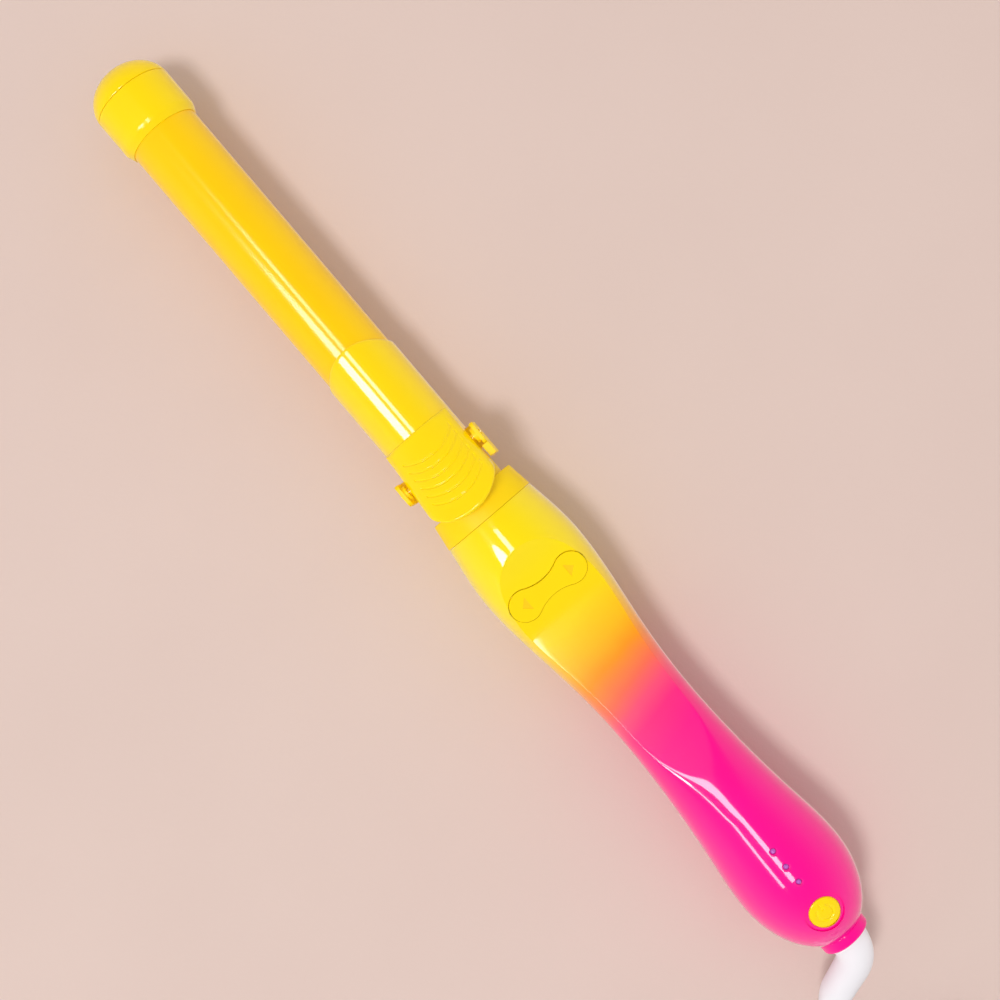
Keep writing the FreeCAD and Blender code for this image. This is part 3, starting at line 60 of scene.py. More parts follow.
def to_linear(code):
    """sRGB hex to linear RGBA: c / 12.92 up to 0.04045, above it ((c + 0.055) / 1.055) ** 2.4."""
    c = np.array([int(code[i:i + 2], 16) for i in (1, 3, 5)]) / 255
    return (*np.where(c <= 0.04045, c / 12.92, ((c + 0.055) / 1.055) ** 2.4), 1.0)


def per(width):
    """Scale of a noise whose clouds are about that many millimetres wide."""
    return 1 / (width * MM)


def add(tree, kind, inputs=None, **settings):
    """Adds a node, sets its properties, and fills its sockets with values or links."""
    made = tree.nodes.new(kind)
    for key, value in settings.items():
        setattr(made, key, value)
    for key, value in (inputs or {}).items():
        if isinstance(value, bpy.types.NodeSocket):
            tree.links.new(value, made.inputs[key])
        else:
            made.inputs[key].default_value = value
    return made


def new_finish(name):
    """An empty material: the material, its node tree, its shader and the piece's coordinates."""
    finish = bpy.data.materials.new(name)
    finish.use_nodes = True
    tree = finish.node_tree
    tree.nodes.clear()
    shader = add(tree, "ShaderNodeBsdfPrincipled")
    add(tree, "ShaderNodeOutputMaterial", {"Surface": shader.outputs[0]})
    place = add(tree, "ShaderNodeTexCoord").outputs["Object"]
    return finish, tree, shader, place


def mixed(tree, share, first, second):
    """Colour that goes from first to second as share goes from 0 to 1."""
    return add(tree, "ShaderNodeMix", {0: share, 6: first, 7: second}, data_type="RGBA").outputs[2]


def grid_faces(rows, cols, wrap_rows=False, wrap_cols=False):
    """Corner numbers of the quads of a grid whose point (i, j) is number i * cols + j."""
    i, j = np.meshgrid(np.arange(rows - (not wrap_rows)), np.arange(cols - (not wrap_cols)), indexing="ij")
    i2, j2 = (i + 1) % rows, (j + 1) % cols
    return np.stack([i * cols + j, i2 * cols + j, i2 * cols + j2, i * cols + j2], -1).reshape(-1, 4)


def put_mesh(name, points, faces, finish, closed=True, sharp=35):
    """Object from points in millimetres. Doubles are merged, and a closed form is turned outward."""
    mesh = bpy.data.meshes.new(name)
    mesh.from_pydata((np.asarray(points).reshape(-1, 3) * MM).tolist(), [], [list(f) for f in faces])
    work = bmesh.new()
    work.from_mesh(mesh)
    bmesh.ops.remove_doubles(work, verts=work.verts, dist=2e-7)
    bmesh.ops.dissolve_degenerate(work, edges=work.edges, dist=1e-7)
    if closed:
        bmesh.ops.recalc_face_normals(work, faces=work.faces)
    work.to_mesh(mesh)
    work.free()
    mesh.shade_smooth()
    mesh.set_sharp_from_angle(angle=math.radians(sharp))
    mesh.materials.append(finish)
    piece = bpy.data.objects.new(name, mesh)
    scene.collection.objects.link(piece)
    return piece


# Painted matt board: dull, with soft clouds of tone and a fine grit, drawn coarse so that it shows.
# Gloss mirrors an evenly lit card in its place, so the shadow on it doesn't darken the iron's flanks.
board, tree, shader, place = new_finish("matt_rosy_board")
cloud = add(tree, "ShaderNodeTexNoise", {"Vector": place, "Scale": per(1000 / 9), "Detail": 6.0}).outputs[0]
tree.links.new(mixed(tree, cloud, to_linear("#D5C1B9"), to_linear("#DCC9C1")), shader.inputs["Base Color"])
grit = add(tree, "ShaderNodeTexNoise", {"Vector": place, "Scale": per(10 / 7), "Detail": 3.0}).outputs[0]
relief = add(tree, "ShaderNodeBump", {"Strength": 0.15, "Distance": 0.4 * MM, "Height": grit})
tree.links.new(relief.outputs[0], shader.inputs["Normal"])
shader.inputs["Roughness"].default_value = 0.85
shader.inputs["Specular IOR Level"].default_value = 0.2
card = add(tree, "ShaderNodeEmission", {"Color": to_linear("#DEC8BF")}).outputs[0]
mirrored = add(tree, "ShaderNodeLightPath").outputs["Is Glossy Ray"]
seen = add(tree, "ShaderNodeMixShader", {0: mirrored, 1: shader.outputs[0], 2: card}).outputs[0]
tree.links.new(seen, tree.nodes["Material Output"].inputs["Surface"])
across = np.linspace(-BOARD_HALF, BOARD_HALF, BOARD_LINES)
flat = np.stack(np.meshgrid(across, across, [BOARD_Z], indexing="ij"), -1)
put_mesh("table_top", flat, grid_faces(BOARD_LINES, BOARD_LINES), board, closed=False)

# Camera and studio light: the view is straight down on the lying iron. A small key lamp gives the short
# shadow, and two low fills without shadows lift the flanks. An oval box and two strips show only in gloss,
# as paired highlights. The room is bright for matt surfaces, and dim overhead where gloss mirrors it.
camera = bpy.data.objects.new("camera", bpy.data.cameras.new("camera"))
camera.location = (0.0038, 0.0064, 0.5002)
camera.rotation_euler = (0, 0, math.radians(49.6))
camera.data.lens = 51.3
camera.data.sensor_width = 36
camera.data.clip_start = 0.01
scene.collection.objects.link(camera)
scene.camera = camera

HORIZON, ZENITH, MIRRORED_ZENITH = 0.56, 0.66, 0.12
LAMP_OFF = 2.5
room = bpy.data.worlds.new("studio")
room.use_nodes = True
sky = room.node_tree
sky.nodes.clear()
aim = add(sky, "ShaderNodeSeparateXYZ", {0: add(sky, "ShaderNodeTexCoord").outputs["Generated"]}).outputs["Z"]
glossy = add(sky, "ShaderNodeLightPath").outputs["Is Glossy Ray"]
top_level = add(sky, "ShaderNodeMapRange", {0: glossy, 3: ZENITH, 4: MIRRORED_ZENITH}).outputs[0]
sky_level = add(sky, "ShaderNodeMapRange", {0: aim, 3: HORIZON, 4: top_level},
                interpolation_type="SMOOTHSTEP").outputs[0]
glow = add(sky, "ShaderNodeBackground", {"Color": to_linear("#FFF6F2"), "Strength": sky_level})
add(sky, "ShaderNodeOutputWorld", {"Surface": glow.outputs[0]})
scene.world = room


def soft_box(name, shape, along, aside, size, power, gloss):
    """Lamp that faces the origin from LAMP_OFF metres, its X edge level. It leans from overhead by two
    angles in degrees, along towards +X and aside towards -Y. It shows only in gloss or only lights matt."""
    lamp = bpy.data.objects.new(name, bpy.data.lights.new(name, "AREA"))
    lamp.data.shape, lamp.data.energy = shape, power
    lamp.data.size, lamp.data.size_y = size
    lamp.visible_diffuse, lamp.visible_glossy = not gloss, gloss
    beam = Vector((math.tan(math.radians(along)), -math.tan(math.radians(aside)), 1)).normalized()
    lamp.location = beam * LAMP_OFF
    level = (Vector((1, 0, 0)) - beam * beam.x).normalized()
    lamp.rotation_euler = Matrix((level, beam.cross(level), beam)).transposed().to_euler()
    scene.collection.objects.link(lamp)


soft_box("key_lamp", "ELLIPSE", 0, 20, (0.6, 0.6), 26, gloss=False)
soft_box("oval_box", "ELLIPSE", -8, 31, (0.7, 0.93), 22, gloss=True)
soft_box("side_strip", "RECTANGLE", 9.5, 29, (0.83, 0.22), 4.8, gloss=True)
soft_box("slim_strip", "RECTANGLE", 0.5, 7.2, (1.58, 0.38), 17, gloss=True)
for name, aside, power in [("right_fill", -75, 11), ("left_fill", 75, 8)]:
    soft_box(name, "ELLIPSE", 0, aside, (0.6, 0.6), power, gloss=False)
    bpy.data.lights[name].use_shadow = False

# Tip dome: heat-proof cap end, moulded in lemon ABS with a gloss straight from the tool.
# It is pushed into the collar on a short spigot, which leaves a fine seam round it.
# The real dome is a little flatter than its solid, by DOME_SHY.
AXIS_Z = 20.5
X_TIP, X_DOME, CAP_R, DOME_SHY = -191.25, -178.95, 14.4, 1.4
SPIGOT_R, SPIGOT_L = 8.0, 5.0


def moulded(name, colour, deep, roughness, coat, grain=0.35, depth=0.004):
    """Moulded plastic. Flow clouds about 25 mm wide shift the tone between two near colours, and a
    fine tool grain, its size in millimetres, unsettles gloss and relief a little."""
    finish, tree, shader, place = new_finish(name)
    flow = add(tree, "ShaderNodeTexNoise", {"Vector": place, "Scale": per(25), "Detail": 2.0}).outputs[0]
    fine = add(tree, "ShaderNodeTexNoise", {"Vector": place, "Scale": per(grain), "Detail": 2.0}).outputs[0]
    tree.links.new(mixed(tree, flow, to_linear(colour), to_linear(deep)), shader.inputs["Base Color"])
    worn = add(tree, "ShaderNodeMapRange", {0: fine, 3: roughness - 0.04, 4: roughness + 0.04}).outputs[0]
    tree.links.new(worn, shader.inputs["Roughness"])
    skin = add(tree, "ShaderNodeBump", {"Strength": 0.12, "Distance": depth * MM, "Height": fine})
    tree.links.new(skin.outputs[0], shader.inputs["Normal"])
    shader.inputs["Specular IOR Level"].default_value = 0.25
    shader.inputs["Coat Weight"].default_value = coat
    shader.inputs["Coat Roughness"].default_value = 0.04
    shader.inputs["Coat IOR"].default_value = 1.6
    return finish


def soft_profile(corners, cuts, steps=7):
    """Closed outline (x, r) with rounded corners. At corner p with unit edges a, b and cut t the curve
    is (1-s)^2 (p+ta) + 2s(1-s) p + s^2 (p+tb); a point 1.3 t out on each edge keeps the runs flat."""
    p = np.array(corners, float)
    a, b = np.roll(p, 1, 0) - p, np.roll(p, -1, 0) - p
    la, lb = np.linalg.norm(a, axis=1, keepdims=True), np.linalg.norm(b, axis=1, keepdims=True)
    t = np.minimum(np.broadcast_to(np.reshape(cuts, (-1, 1)), la.shape), 0.37 * np.minimum(la, lb))
    a, b = a / la * t, b / lb * t
    s = np.linspace(0, 1, steps)[None, :, None]
    arc = (1 - s) ** 2 * (p + a)[:, None] + 2 * s * (1 - s) * p[:, None] + s ** 2 * (p + b)[:, None]
    return np.concatenate([(p + 1.3 * a)[:, None], arc, (p + 1.3 * b)[:, None]], 1).reshape(-1, 2)


def lathe(name, profile, finish, steps=144):
    """Ring turned about the barrel axis: (x, r sin q, axis + r cos q) for q from 0 to a full turn."""
    q = np.linspace(0, 2 * math.pi, steps, endpoint=False)
    x, r = profile[:, :1], profile[:, 1:]
    points = np.stack([x + 0 * q, r * np.sin(q), AXIS_Z + r * np.cos(q)], -1)
    return put_mesh(name, points, grid_faces(len(profile), steps, True, True), finish)


def fit(piece, body, slot, *nodes):
    """Lets a piece ride on its body and stand for its CAD nodes; its slot is not used."""
    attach(piece, body)
    if nodes:
        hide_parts(*nodes)


# Gloss ABS from a polished tool: an even lemon with crisp, clear highlights.
lemon = moulded("lemon_gloss_abs", "#FFE200", "#FFDC00", 0.2, 0.35)
q = np.linspace(0, math.pi / 2 - 0.03, 40)
bow = np.stack([X_DOME - (X_DOME - X_TIP - DOME_SHY) * np.cos(q), CAP_R * np.sin(q)], -1)
lip = np.array([(X_DOME - 0.12, CAP_R - 0.06), (X_DOME, CAP_R - 0.35), (X_DOME, CAP_R - 0.8),
                (X_DOME, SPIGOT_R), (X_DOME + SPIGOT_L, SPIGOT_R), (X_DOME + SPIGOT_L, 0)])
fit(lathe("tip_dome_shell", np.concatenate([bow, lip]), lemon), "barrel", "lemon_plastic", "tip_dome")

# Tip collar: the cylindrical part of the cap, same lemon ABS, with a bevelled rear edge.
# The coated barrel is pressed into it, up to a web with a small bore.
X_CAP, BARREL_R, FIT = -162.4, 12.7, 0.05
WEB_IN, WEB_T, WEB_BORE, BEVEL_L, BEVEL_R = 9.4, 2.0, 1.6, 2.7, 1.25
x_web, x_seam = X_CAP - WEB_IN, X_DOME + FIT
corners = [(x_seam, SPIGOT_R + FIT), (x_seam, CAP_R), (X_CAP - BEVEL_L, CAP_R), (X_CAP, CAP_R - BEVEL_R),
           (X_CAP, BARREL_R + FIT), (x_web, BARREL_R + FIT), (x_web, WEB_BORE), (x_web - WEB_T, WEB_BORE),
           (x_web - WEB_T, SPIGOT_R + FIT)]
cuts = [0.1, 0.35, 0.9, 0.3, 0.1, 0.1, 0.1, 0.1, 0.1]
fit(lathe("tip_collar_shell", soft_profile(corners, cuts), lemon), "barrel", "lemon_plastic", "tip_collar")

# Barrel: drawn aluminium tube with a satin ceramic coat in warm yellow, baked on.
# The coat is smooth but less glossy than the plastic, so strip light spreads a little on it.
X_RING, BASE_LAP, BASE_WEB_T, TUBE_WALL = -3.4, 1.7, 4.5, 1.0
coat, tree, shader, place = new_finish("satin_ceramic_coat")
speck = add(tree, "ShaderNodeTexNoise", {"Vector": place, "Scale": per(0.4), "Detail": 2.0}).outputs[0]
bake = add(tree, "ShaderNodeTexNoise", {"Vector": place, "Scale": per(100 / 3), "Detail": 2.0}).outputs[0]
tree.links.new(mixed(tree, bake, to_linear("#FFD400"), to_linear("#FFCC00")), shader.inputs["Base Color"])
satin_range = add(tree, "ShaderNodeMapRange", {0: speck, 3: 0.1, 4: 0.17}).outputs[0]
tree.links.new(satin_range, shader.inputs["Roughness"])
skin = add(tree, "ShaderNodeBump", {"Strength": 0.1, "Distance": 0.004 * MM, "Height": speck})
tree.links.new(skin.outputs[0], shader.inputs["Normal"])
shader.inputs["Specular IOR Level"].default_value = 0.5
x_tube, x_tube_end, tube_in = x_web + FIT, X_RING + BASE_LAP - BASE_WEB_T - FIT, BARREL_R - TUBE_WALL
corners = [(x_tube, tube_in), (x_tube, BARREL_R), (x_tube_end, BARREL_R), (x_tube_end, tube_in)]
fit(lathe("barrel_sleeve", soft_profile(corners, [0.2] * 4), coat), "barrel", "gold_coating", "barrel_tube")

# Clamp spoon: half-round steel sheet, lemon enamel over it, with a rounded front end.
# It hugs the barrel and is riveted under the lever.
HOME = math.radians(4)
SPOON_IN, SPOON_OUT, SPOON_NOSE = 13.0, 13.5, 17.5
X_SPOON0, X_SPOON1 = -66.6, -22.15


def at_home(points):
    """Turns barrel pieces by the stop angle about X, y' = y cos h - z sin h, z' = y sin h + z cos h,
    and lifts them to the axis."""
    x, y, z = np.moveaxis(np.asarray(points, float), -1, 0)
    turned_y = y * math.cos(HOME) - z * math.sin(HOME)
    return np.stack([x, turned_y, y * math.sin(HOME) + z * math.cos(HOME) + AXIS_Z], -1)


def joined(name, sections, finish, sharp=35):
    """Solid from loops of points laid one after another, with a flat end on the first and the last."""
    rows, cols = sections.shape[:2]
    faces = [*grid_faces(rows, cols, False, True), np.arange(cols)[::-1], np.arange(cols) + (rows - 1) * cols]
    return put_mesh(name, sections, faces, finish, sharp=sharp)


# Stoved enamel on steel: flows out glassy, so it mirrors the strips more clearly than the plastic.
# The loop runs once round the sheet as (share of its length, radius), with the front edge rolled.
enamel = moulded("lemon_enamel", "#FFE000", "#FFDA00", 0.16, 0.75, grain=1.2, depth=0.006)
loop = np.array([(0, SPOON_IN + 0.1), (0, SPOON_OUT - 0.22), (0.004, SPOON_OUT - 0.07), (0.012, SPOON_OUT),
                 *[(s, SPOON_OUT) for s in np.linspace(0.03, 0.97, 24)], (1, SPOON_OUT), (1, SPOON_IN),
                 *[(s, SPOON_IN) for s in np.linspace(0.97, 0.03, 6)], (0.006, SPOON_IN)])
q = np.linspace(-math.pi / 2, math.pi / 2, 121)[:, None]
y = loop[:, 1] * np.sin(q)
x_front = X_SPOON0 + SPOON_NOSE - np.sqrt(SPOON_NOSE ** 2 - y ** 2)
sections = np.stack([x_front + loop[:, 0] * (X_SPOON1 - x_front), y, loop[:, 1] * np.cos(q)], -1)
fit(joined("spoon_sheet", at_home(sections), enamel), "clamp", "lemon_enamel", "clamp_spoon")

# Clamp lever: lemon ABS thumb pad that rises from the spoon over the neck ring. The moulding is
# hollow, its end is a broad round, and six arc grooves with a hook are sunk in it for grip.
X_PIN, PIN_Z, EYE_R = -17.7, 9.99, 3.2
X_LEVER0, X_LEVER1, LEVER_END_R, LEVER_CORNER = X_PIN - 13.7, X_PIN + 19.0, 17.0, 5.0
CORNER_X, CORNER_Y, MEET_X = -7.285, 8.555, -3.78
LEVER_HALF, LEVER_FLARE, LEVER_RIM, LEVER_WALL = 13.0, 0.75, 2.1, 1.6
CROWN_Z, CROWN_RISE, EDGE_DROP, DROP_LOSS = 14.45, 10.45, 6.4, 4.7
EYE_Z, LIP_Z, LIP_IN, BACK_R = PIN_Z - EYE_R, 22.3, 2.6, SPOON_OUT + FIT
GROOVES, GROOVE_FIRST, GROOVE_STEP, GROOVE_R = 6, -3.9, 3.25, 16
GROOVE_HALF, GROOVE_SHIFT, GROOVE_W, GROOVE_SINK, HOOK_L = 10.2, 0.6, 0.5, 0.4, 1.2
FAR, SKIRT = 9, 8


def lever_half(x):
    """Half width, LEVER_HALF at the front and LEVER_FLARE more at the rear, in a straight line."""
    return LEVER_HALF + (x - X_LEVER0) / (X_LEVER1 - X_LEVER0) * LEVER_FLARE


def lever_top(x, y):
    """Crown: arc across the lever through its top line and its two edges. The top line rises in a straight
    line, and the edges lie EDGE_DROP below it in front and DROP_LOSS less at the rear."""
    f = (x - X_LEVER0) / (X_LEVER1 - X_LEVER0)
    drop, half = EDGE_DROP - DROP_LOSS * f, lever_half(x)
    radius = (half ** 2 + drop ** 2) / (2 * drop)
    return CROWN_Z + CROWN_RISE * f - radius + np.sqrt(radius ** 2 - y ** 2)


def lever_low(x, y):
    """Lower edge: level at the hinge eye, then a slope up to the lip, never below the spoon's back."""
    x_eye, x_lip = X_PIN + EYE_R, X_LEVER1 - LIP_IN
    line = EYE_Z + np.clip((x - x_eye) / (x_lip - x_eye), 0, 1) * (LIP_Z - EYE_Z)
    return np.maximum(line, np.sqrt(np.maximum(BACK_R ** 2 - y ** 2, 0)))


# The outline is straight sides, two corner arcs and a broad end arc, and inset is the way in from it.
end_centre = X_LEVER1 - LEVER_END_R
f = np.linspace(0, 1, 230)
x = X_LEVER0 + (X_LEVER1 - X_LEVER0) * (1 - (1 - f) ** 1.35)
rounded = CORNER_Y + np.sqrt(np.maximum(LEVER_CORNER ** 2 - np.maximum(x - CORNER_X, 0) ** 2, 0))
blunt = np.sqrt(np.maximum(LEVER_END_R ** 2 - np.maximum(x - end_centre, 0) ** 2, 0))
reach = np.where(x <= CORNER_X, lever_half(x), np.where(x <= MEET_X, rounded, blunt))
t = np.sin(np.linspace(-math.pi / 2, math.pi / 2, 190))
x, y = x[:, None] + 0 * t, reach[:, None] * t
end_in = LEVER_END_R - np.hypot(np.maximum(x - end_centre, 0), y)
corner_in = LEVER_CORNER - np.hypot(x - CORNER_X, np.abs(y) - CORNER_Y)
past_side = (np.abs(y) - CORNER_Y) * (CORNER_X - end_centre) > (x - CORNER_X) * CORNER_Y
inset = np.minimum(np.minimum(x - X_LEVER0, lever_half(x) - np.abs(y)), end_in)
inset = np.where((x > CORNER_X) & past_side, np.minimum(inset, corner_in), inset)
top, low = lever_top(x, y), lever_low(x, y)
rim = np.minimum(LEVER_RIM, 0.6 * (top - low))
fall = rim - np.sqrt(np.maximum(rim ** 2 - np.maximum(rim - np.maximum(inset, 0), 0) ** 2, 0))

# Each groove is a cosine dip round an arc whose centre lies GROOVE_R in front of its crown.
crowns = X_PIN + GROOVE_FIRST + GROOVE_STEP * np.arange(GROOVES)[:, None, None] - GROOVE_R
groove_y = y - GROOVE_SHIFT
arc_off = np.where(np.abs(groove_y) < GROOVE_HALF, np.abs(np.hypot(x - crowns, groove_y) - GROOVE_R), FAR)
hook_end = crowns + math.sqrt(GROOVE_R ** 2 - GROOVE_HALF ** 2)
hook_off = np.hypot(x - np.clip(x, hook_end - HOOK_L, hook_end), groove_y - GROOVE_HALF)
near = np.where(x > crowns, np.minimum(arc_off, hook_off), FAR).min(0)
sink = GROOVE_SINK / 2 * (1 + np.cos(math.pi * np.clip(near / GROOVE_W, 0, 1)))
pad = np.stack([x, y, top - fall - sink], -1)

# The skirt drops from the pad's border to the lower edge, and Solidify gives both their wall.
rows, cols = x.shape
number = np.arange(rows * cols).reshape(rows, cols)
brink = np.concatenate([number[:-1, 0], number[-1, :-1], number[:0:-1, -1], number[0, :0:-1]])
rim_points = pad.reshape(-1, 3)[brink]
foot = lever_low(rim_points[:, 0], rim_points[:, 1])
levels = np.linspace(0, 1, SKIRT + 1)[1:, None]
skirt = np.stack([rim_points[:, 0] + 0 * levels, rim_points[:, 1] + 0 * levels,
                  rim_points[:, 2] + levels * np.minimum(foot - rim_points[:, 2], -FIT)], -1)
ring = np.concatenate([brink[None], rows * cols + np.arange(SKIRT * len(brink)).reshape(SKIRT, -1)])
wall = np.stack([ring[:-1], ring[1:], np.roll(ring[1:], -1, 1), np.roll(ring[:-1], -1, 1)], -1).reshape(-1, 4)
lever = put_mesh("lever_pad", np.concatenate([at_home(pad).reshape(-1, 3), at_home(skirt).reshape(-1, 3)]),
                 np.concatenate([grid_faces(rows, cols), wall]), lemon, closed=False, sharp=55)
hollow = lever.modifiers.new("wall", "SOLIDIFY")
hollow.thickness, hollow.offset = LEVER_WALL * MM, -1
fit(lever, "clamp", "lemon_plastic", "clamp_lever")

# Hinge bracket: steel saddle with two pierced ears, in a satin lemon plastic skin, and steel pins
# in lemon enamel through the ears. The saddle's edges are broken by tumbling before it is coated.


def dress(finish, *nodes):
    """Gives CAD nodes a finish."""
    for node in nodes:
        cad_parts[node].material_slots[0].material = finish


def copied(node, name, finish, angle=40):
    """Copy of a CAD node with doubles merged and flat faces joined."""
    work = bmesh.new()
    work.from_mesh(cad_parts[node].data)
    bmesh.ops.remove_doubles(work, verts=work.verts, dist=1e-6)
    bmesh.ops.dissolve_limit(work, angle_limit=math.radians(0.6), verts=work.verts, edges=work.edges)
    mesh = bpy.data.meshes.new(name)
    work.to_mesh(mesh)
    work.free()
    mesh.shade_smooth()
    mesh.set_sharp_from_angle(angle=math.radians(angle))
    mesh.materials.append(finish)
    piece = bpy.data.objects.new(name, mesh)
    scene.collection.objects.link(piece)
    return piece


def eased(node, name, width, finish, angle=40):
    """Copy of a CAD node with its sharp edges rounded."""
    piece = copied(node, name, finish, angle)
    soft = piece.modifiers.new("eased_edges", "BEVEL")
    soft.width, soft.segments, soft.harden_normals = width * MM, 2, True
    soft.limit_method, soft.angle_limit = "ANGLE", math.radians(angle)
    return piece


# Satin ABS from an etched tool: light only lies on it as a soft sheen. Its lemon is a touch deeper
# than the gloss lemon, as painted shade for the neck ring under the lever and the bracket's ears.
satin_shaded = moulded("lemon_satin_abs_painted_shade", "#FFDE00", "#FFD800", 0.45, 0.0, grain=0.5)
fit(eased("hinge_bracket", "hinge_bracket_eased", 0.3, satin_shaded), "barrel", "bracket_steel", "hinge_bracket")
dress(enamel, "pivot_pins")

# Neck ring: conical satin lemon ring that closes the handle's front and holds the shaft bush.
# It butts against the shells, which shows as a fine dark seam.
X_NECK, NECK_R, NECK_SEAM = 5.9, 17.7, 0.12
RING_R, RING_BORE, RING_WEB, RING_SPIGOT, RING_SPIGOT_L, BUSH_HOLE = 16.4, 13.5, 2, 15.65, 3, 7.6
x_butt, x_spigot = X_NECK - NECK_SEAM, X_NECK + RING_SPIGOT_L
corners = [(X_RING, RING_BORE), (X_RING, RING_R), (x_butt, NECK_R), (x_butt, RING_SPIGOT),
           (x_spigot, RING_SPIGOT), (x_spigot, RING_BORE), (X_NECK, RING_BORE), (X_NECK, BUSH_HOLE),
           (X_RING + RING_WEB, BUSH_HOLE), (X_RING + RING_WEB, RING_BORE)]
cuts = [0.3, 0.4, 0.16] + [0.1] * 7
fit(lathe("neck_ring_shell", soft_profile(corners, cuts), satin_shaded), "handle", "lemon_plastic", "neck_ring")

# Handle: two gloss ABS shells, sprayed with an ombre lacquer from lemon through orange and
# coral to hot pink, then clear coated. The front half has the thumb scoop and the openings.
HANDLE_L, BULGE_R, BULGE_SHARE, X_TAIL, TAIL_R = 181.2, 20.2, 0.8576, 187.1, 9.3
X_BULGE = X_NECK + BULGE_SHARE * HANDLE_L
X_ROCKER, X_BUTTON, LIGHT_X = 35.6, 174.0, (147.6, 153.9, 160.1)
KNOTS = np.array([(0, NECK_R, 0.16), (0.1209, BULGE_R, 0), (0.3217, 16.6, -0.118), (0.4796, 14.86, 0),
                  (0.7125, 17.46, 0.113), (BULGE_SHARE, BULGE_R, 0)])
SCOOP_L, SCOOP_RISE, OPEN_AIR = 112.0, 0.02, 60.0
SCOOP = np.array([(-0.1752, 1.06, -0.62), (-0.0911, 0.81, -0.47), (0.0143, 0.614, -0.3),
                  (0.225, 0.502, -0.01), (0.5036, 0.497, 0.02), (0.825, 0.846, 0.17)])
WALL, PARTING, FACE_START, FACE_END = 2.0, 0.025, 15, 26
CREASE_SOFT, REAR_SOFT, X_SOFT, SOFT_L, CREASE_PULL = 0.12, 1.6, 94, 30, 2.2


def through(knots, x):
    """Cubic pieces through knots (x, height, slope): with f = (x - x0) / span the height is
    (1+2f)(1-f)^2 h0 + f(1-f)^2 span m0 + f^2(3-2f) h1 + f^2(f-1) span m1."""
    k = np.clip(np.searchsorted(knots[:, 0], x, side="right") - 1, 0, len(knots) - 2)
    (x0, h0, m0), (x1, h1, m1) = np.moveaxis(knots[k], -1, 0), np.moveaxis(knots[k + 1], -1, 0)
    span = x1 - x0
    f = np.clip((x - x0) / span, 0, 1)
    start = (1 + 2 * f) * (1 - f) ** 2 * h0 + f * (1 - f) ** 2 * span * m0
    return start + f * f * (3 - 2 * f) * h1 + f * f * (f - 1) * span * m1


handle_knots = KNOTS * (HANDLE_L, 1, 1) + (X_NECK, 0, 0)
scoop_knots = SCOOP * (SCOOP_L, BULGE_R, 1) + (X_ROCKER, 0, 0)
TAIL_REACH = (X_TAIL - X_BULGE) / math.sqrt(1 - (TAIL_R / BULGE_R) ** 2)


def handle_radius(x):
    """Radius of the handle: cubic pieces to the rear bulge, then a quarter ellipse
    R sqrt(1 - (dx / reach)^2)."""
    tail = BULGE_R * np.sqrt(np.maximum(1 - (np.maximum(x - X_BULGE, 0) / TAIL_REACH) ** 2, 0))
    return np.where(x > X_BULGE, tail, through(handle_knots, np.minimum(x, X_BULGE)))


def scoop_floor(x):
    """Height of the thumb scoop's floor above the axis, far above the handle in front of it, and past
    its last knot a parabola h + m d + SCOOP_RISE d^2 that leaves the handle."""
    first, (last, _, slope) = scoop_knots[0, 0], scoop_knots[-1]
    past = np.maximum(x - last, 0)
    floor = through(scoop_knots, np.clip(x, first, last)) + slope * past + SCOOP_RISE * past ** 2
    return np.where(x < first, OPEN_AIR, floor)


def under(a, b, k):
    """The lower of two heights, blended where they are within k: min - (k - |a-b|)^2 / 4k."""
    return np.minimum(a, b) - np.maximum(k - np.abs(a - b), 0) ** 2 / (4 * k)


# Sprayed lacquer under a clear coat: deep even colour with mirror highlights and a trace of orange peel.
# The colours change with x + OMBRE_SLANT y, in metres, and drift by a few millimetres as a spray does.
OMBRE_SLANT, OMBRE_DRIFT, OMBRE_START, OMBRE_END = 0.15, 6 * MM, 33 * MM, 133 * MM
OMBRE = [(0.0, "#FFE600"), (0.18, "#FFDC00"), (0.3, "#FFBE00"), (0.38, "#FF9A0A"), (0.48, "#FF6E50"),
         (0.54, "#FF4C78"), (0.61, "#FF1E82"), (0.72, "#FF008C"), (1.0, "#FF0096")]
lacquer, tree, shader, place = new_finish("ombre_lacquer")
where = add(tree, "ShaderNodeSeparateXYZ", {0: place}).outputs
slant = add(tree, "ShaderNodeMath", {0: where["Y"], 1: OMBRE_SLANT, 2: where["X"]}, operation="MULTIPLY_ADD")
drift = add(tree, "ShaderNodeTexNoise", {"Vector": place, "Scale": per(200 / 9), "Detail": 2.0}).outputs[0]
spray = add(tree, "ShaderNodeMath", {0: drift, 1: OMBRE_DRIFT, 2: slant.outputs[0]}, operation="MULTIPLY_ADD")
along = add(tree, "ShaderNodeMapRange", {0: spray.outputs[0], 1: OMBRE_START, 2: OMBRE_END}).outputs[0]
fade = add(tree, "ShaderNodeValToRGB", {0: along})
while len(fade.color_ramp.elements) < len(OMBRE):
    fade.color_ramp.elements.new(0.5)
for stop, (share, code) in zip(fade.color_ramp.elements, OMBRE):
    stop.position, stop.color = share, to_linear(code)
tree.links.new(fade.outputs[0], shader.inputs["Base Color"])
fleck = add(tree, "ShaderNodeTexNoise", {"Vector": place, "Scale": per(10 / 9), "Detail": 2.0}).outputs[0]
gloss_range = add(tree, "ShaderNodeMapRange", {0: fleck, 3: 0.13, 4: 0.19}).outputs[0]
tree.links.new(gloss_range, shader.inputs["Roughness"])
orange_peel = add(tree, "ShaderNodeBump", {"Strength": 0.08, "Distance": 0.006 * MM, "Height": fleck})
tree.links.new(orange_peel.outputs[0], shader.inputs["Normal"])
shader.inputs["Specular IOR Level"].default_value = 0.15
shader.inputs["Coat Weight"].default_value = 1.0
shader.inputs["Coat Roughness"].default_value = 0.03
shader.inputs["Coat IOR"].default_value = 1.6

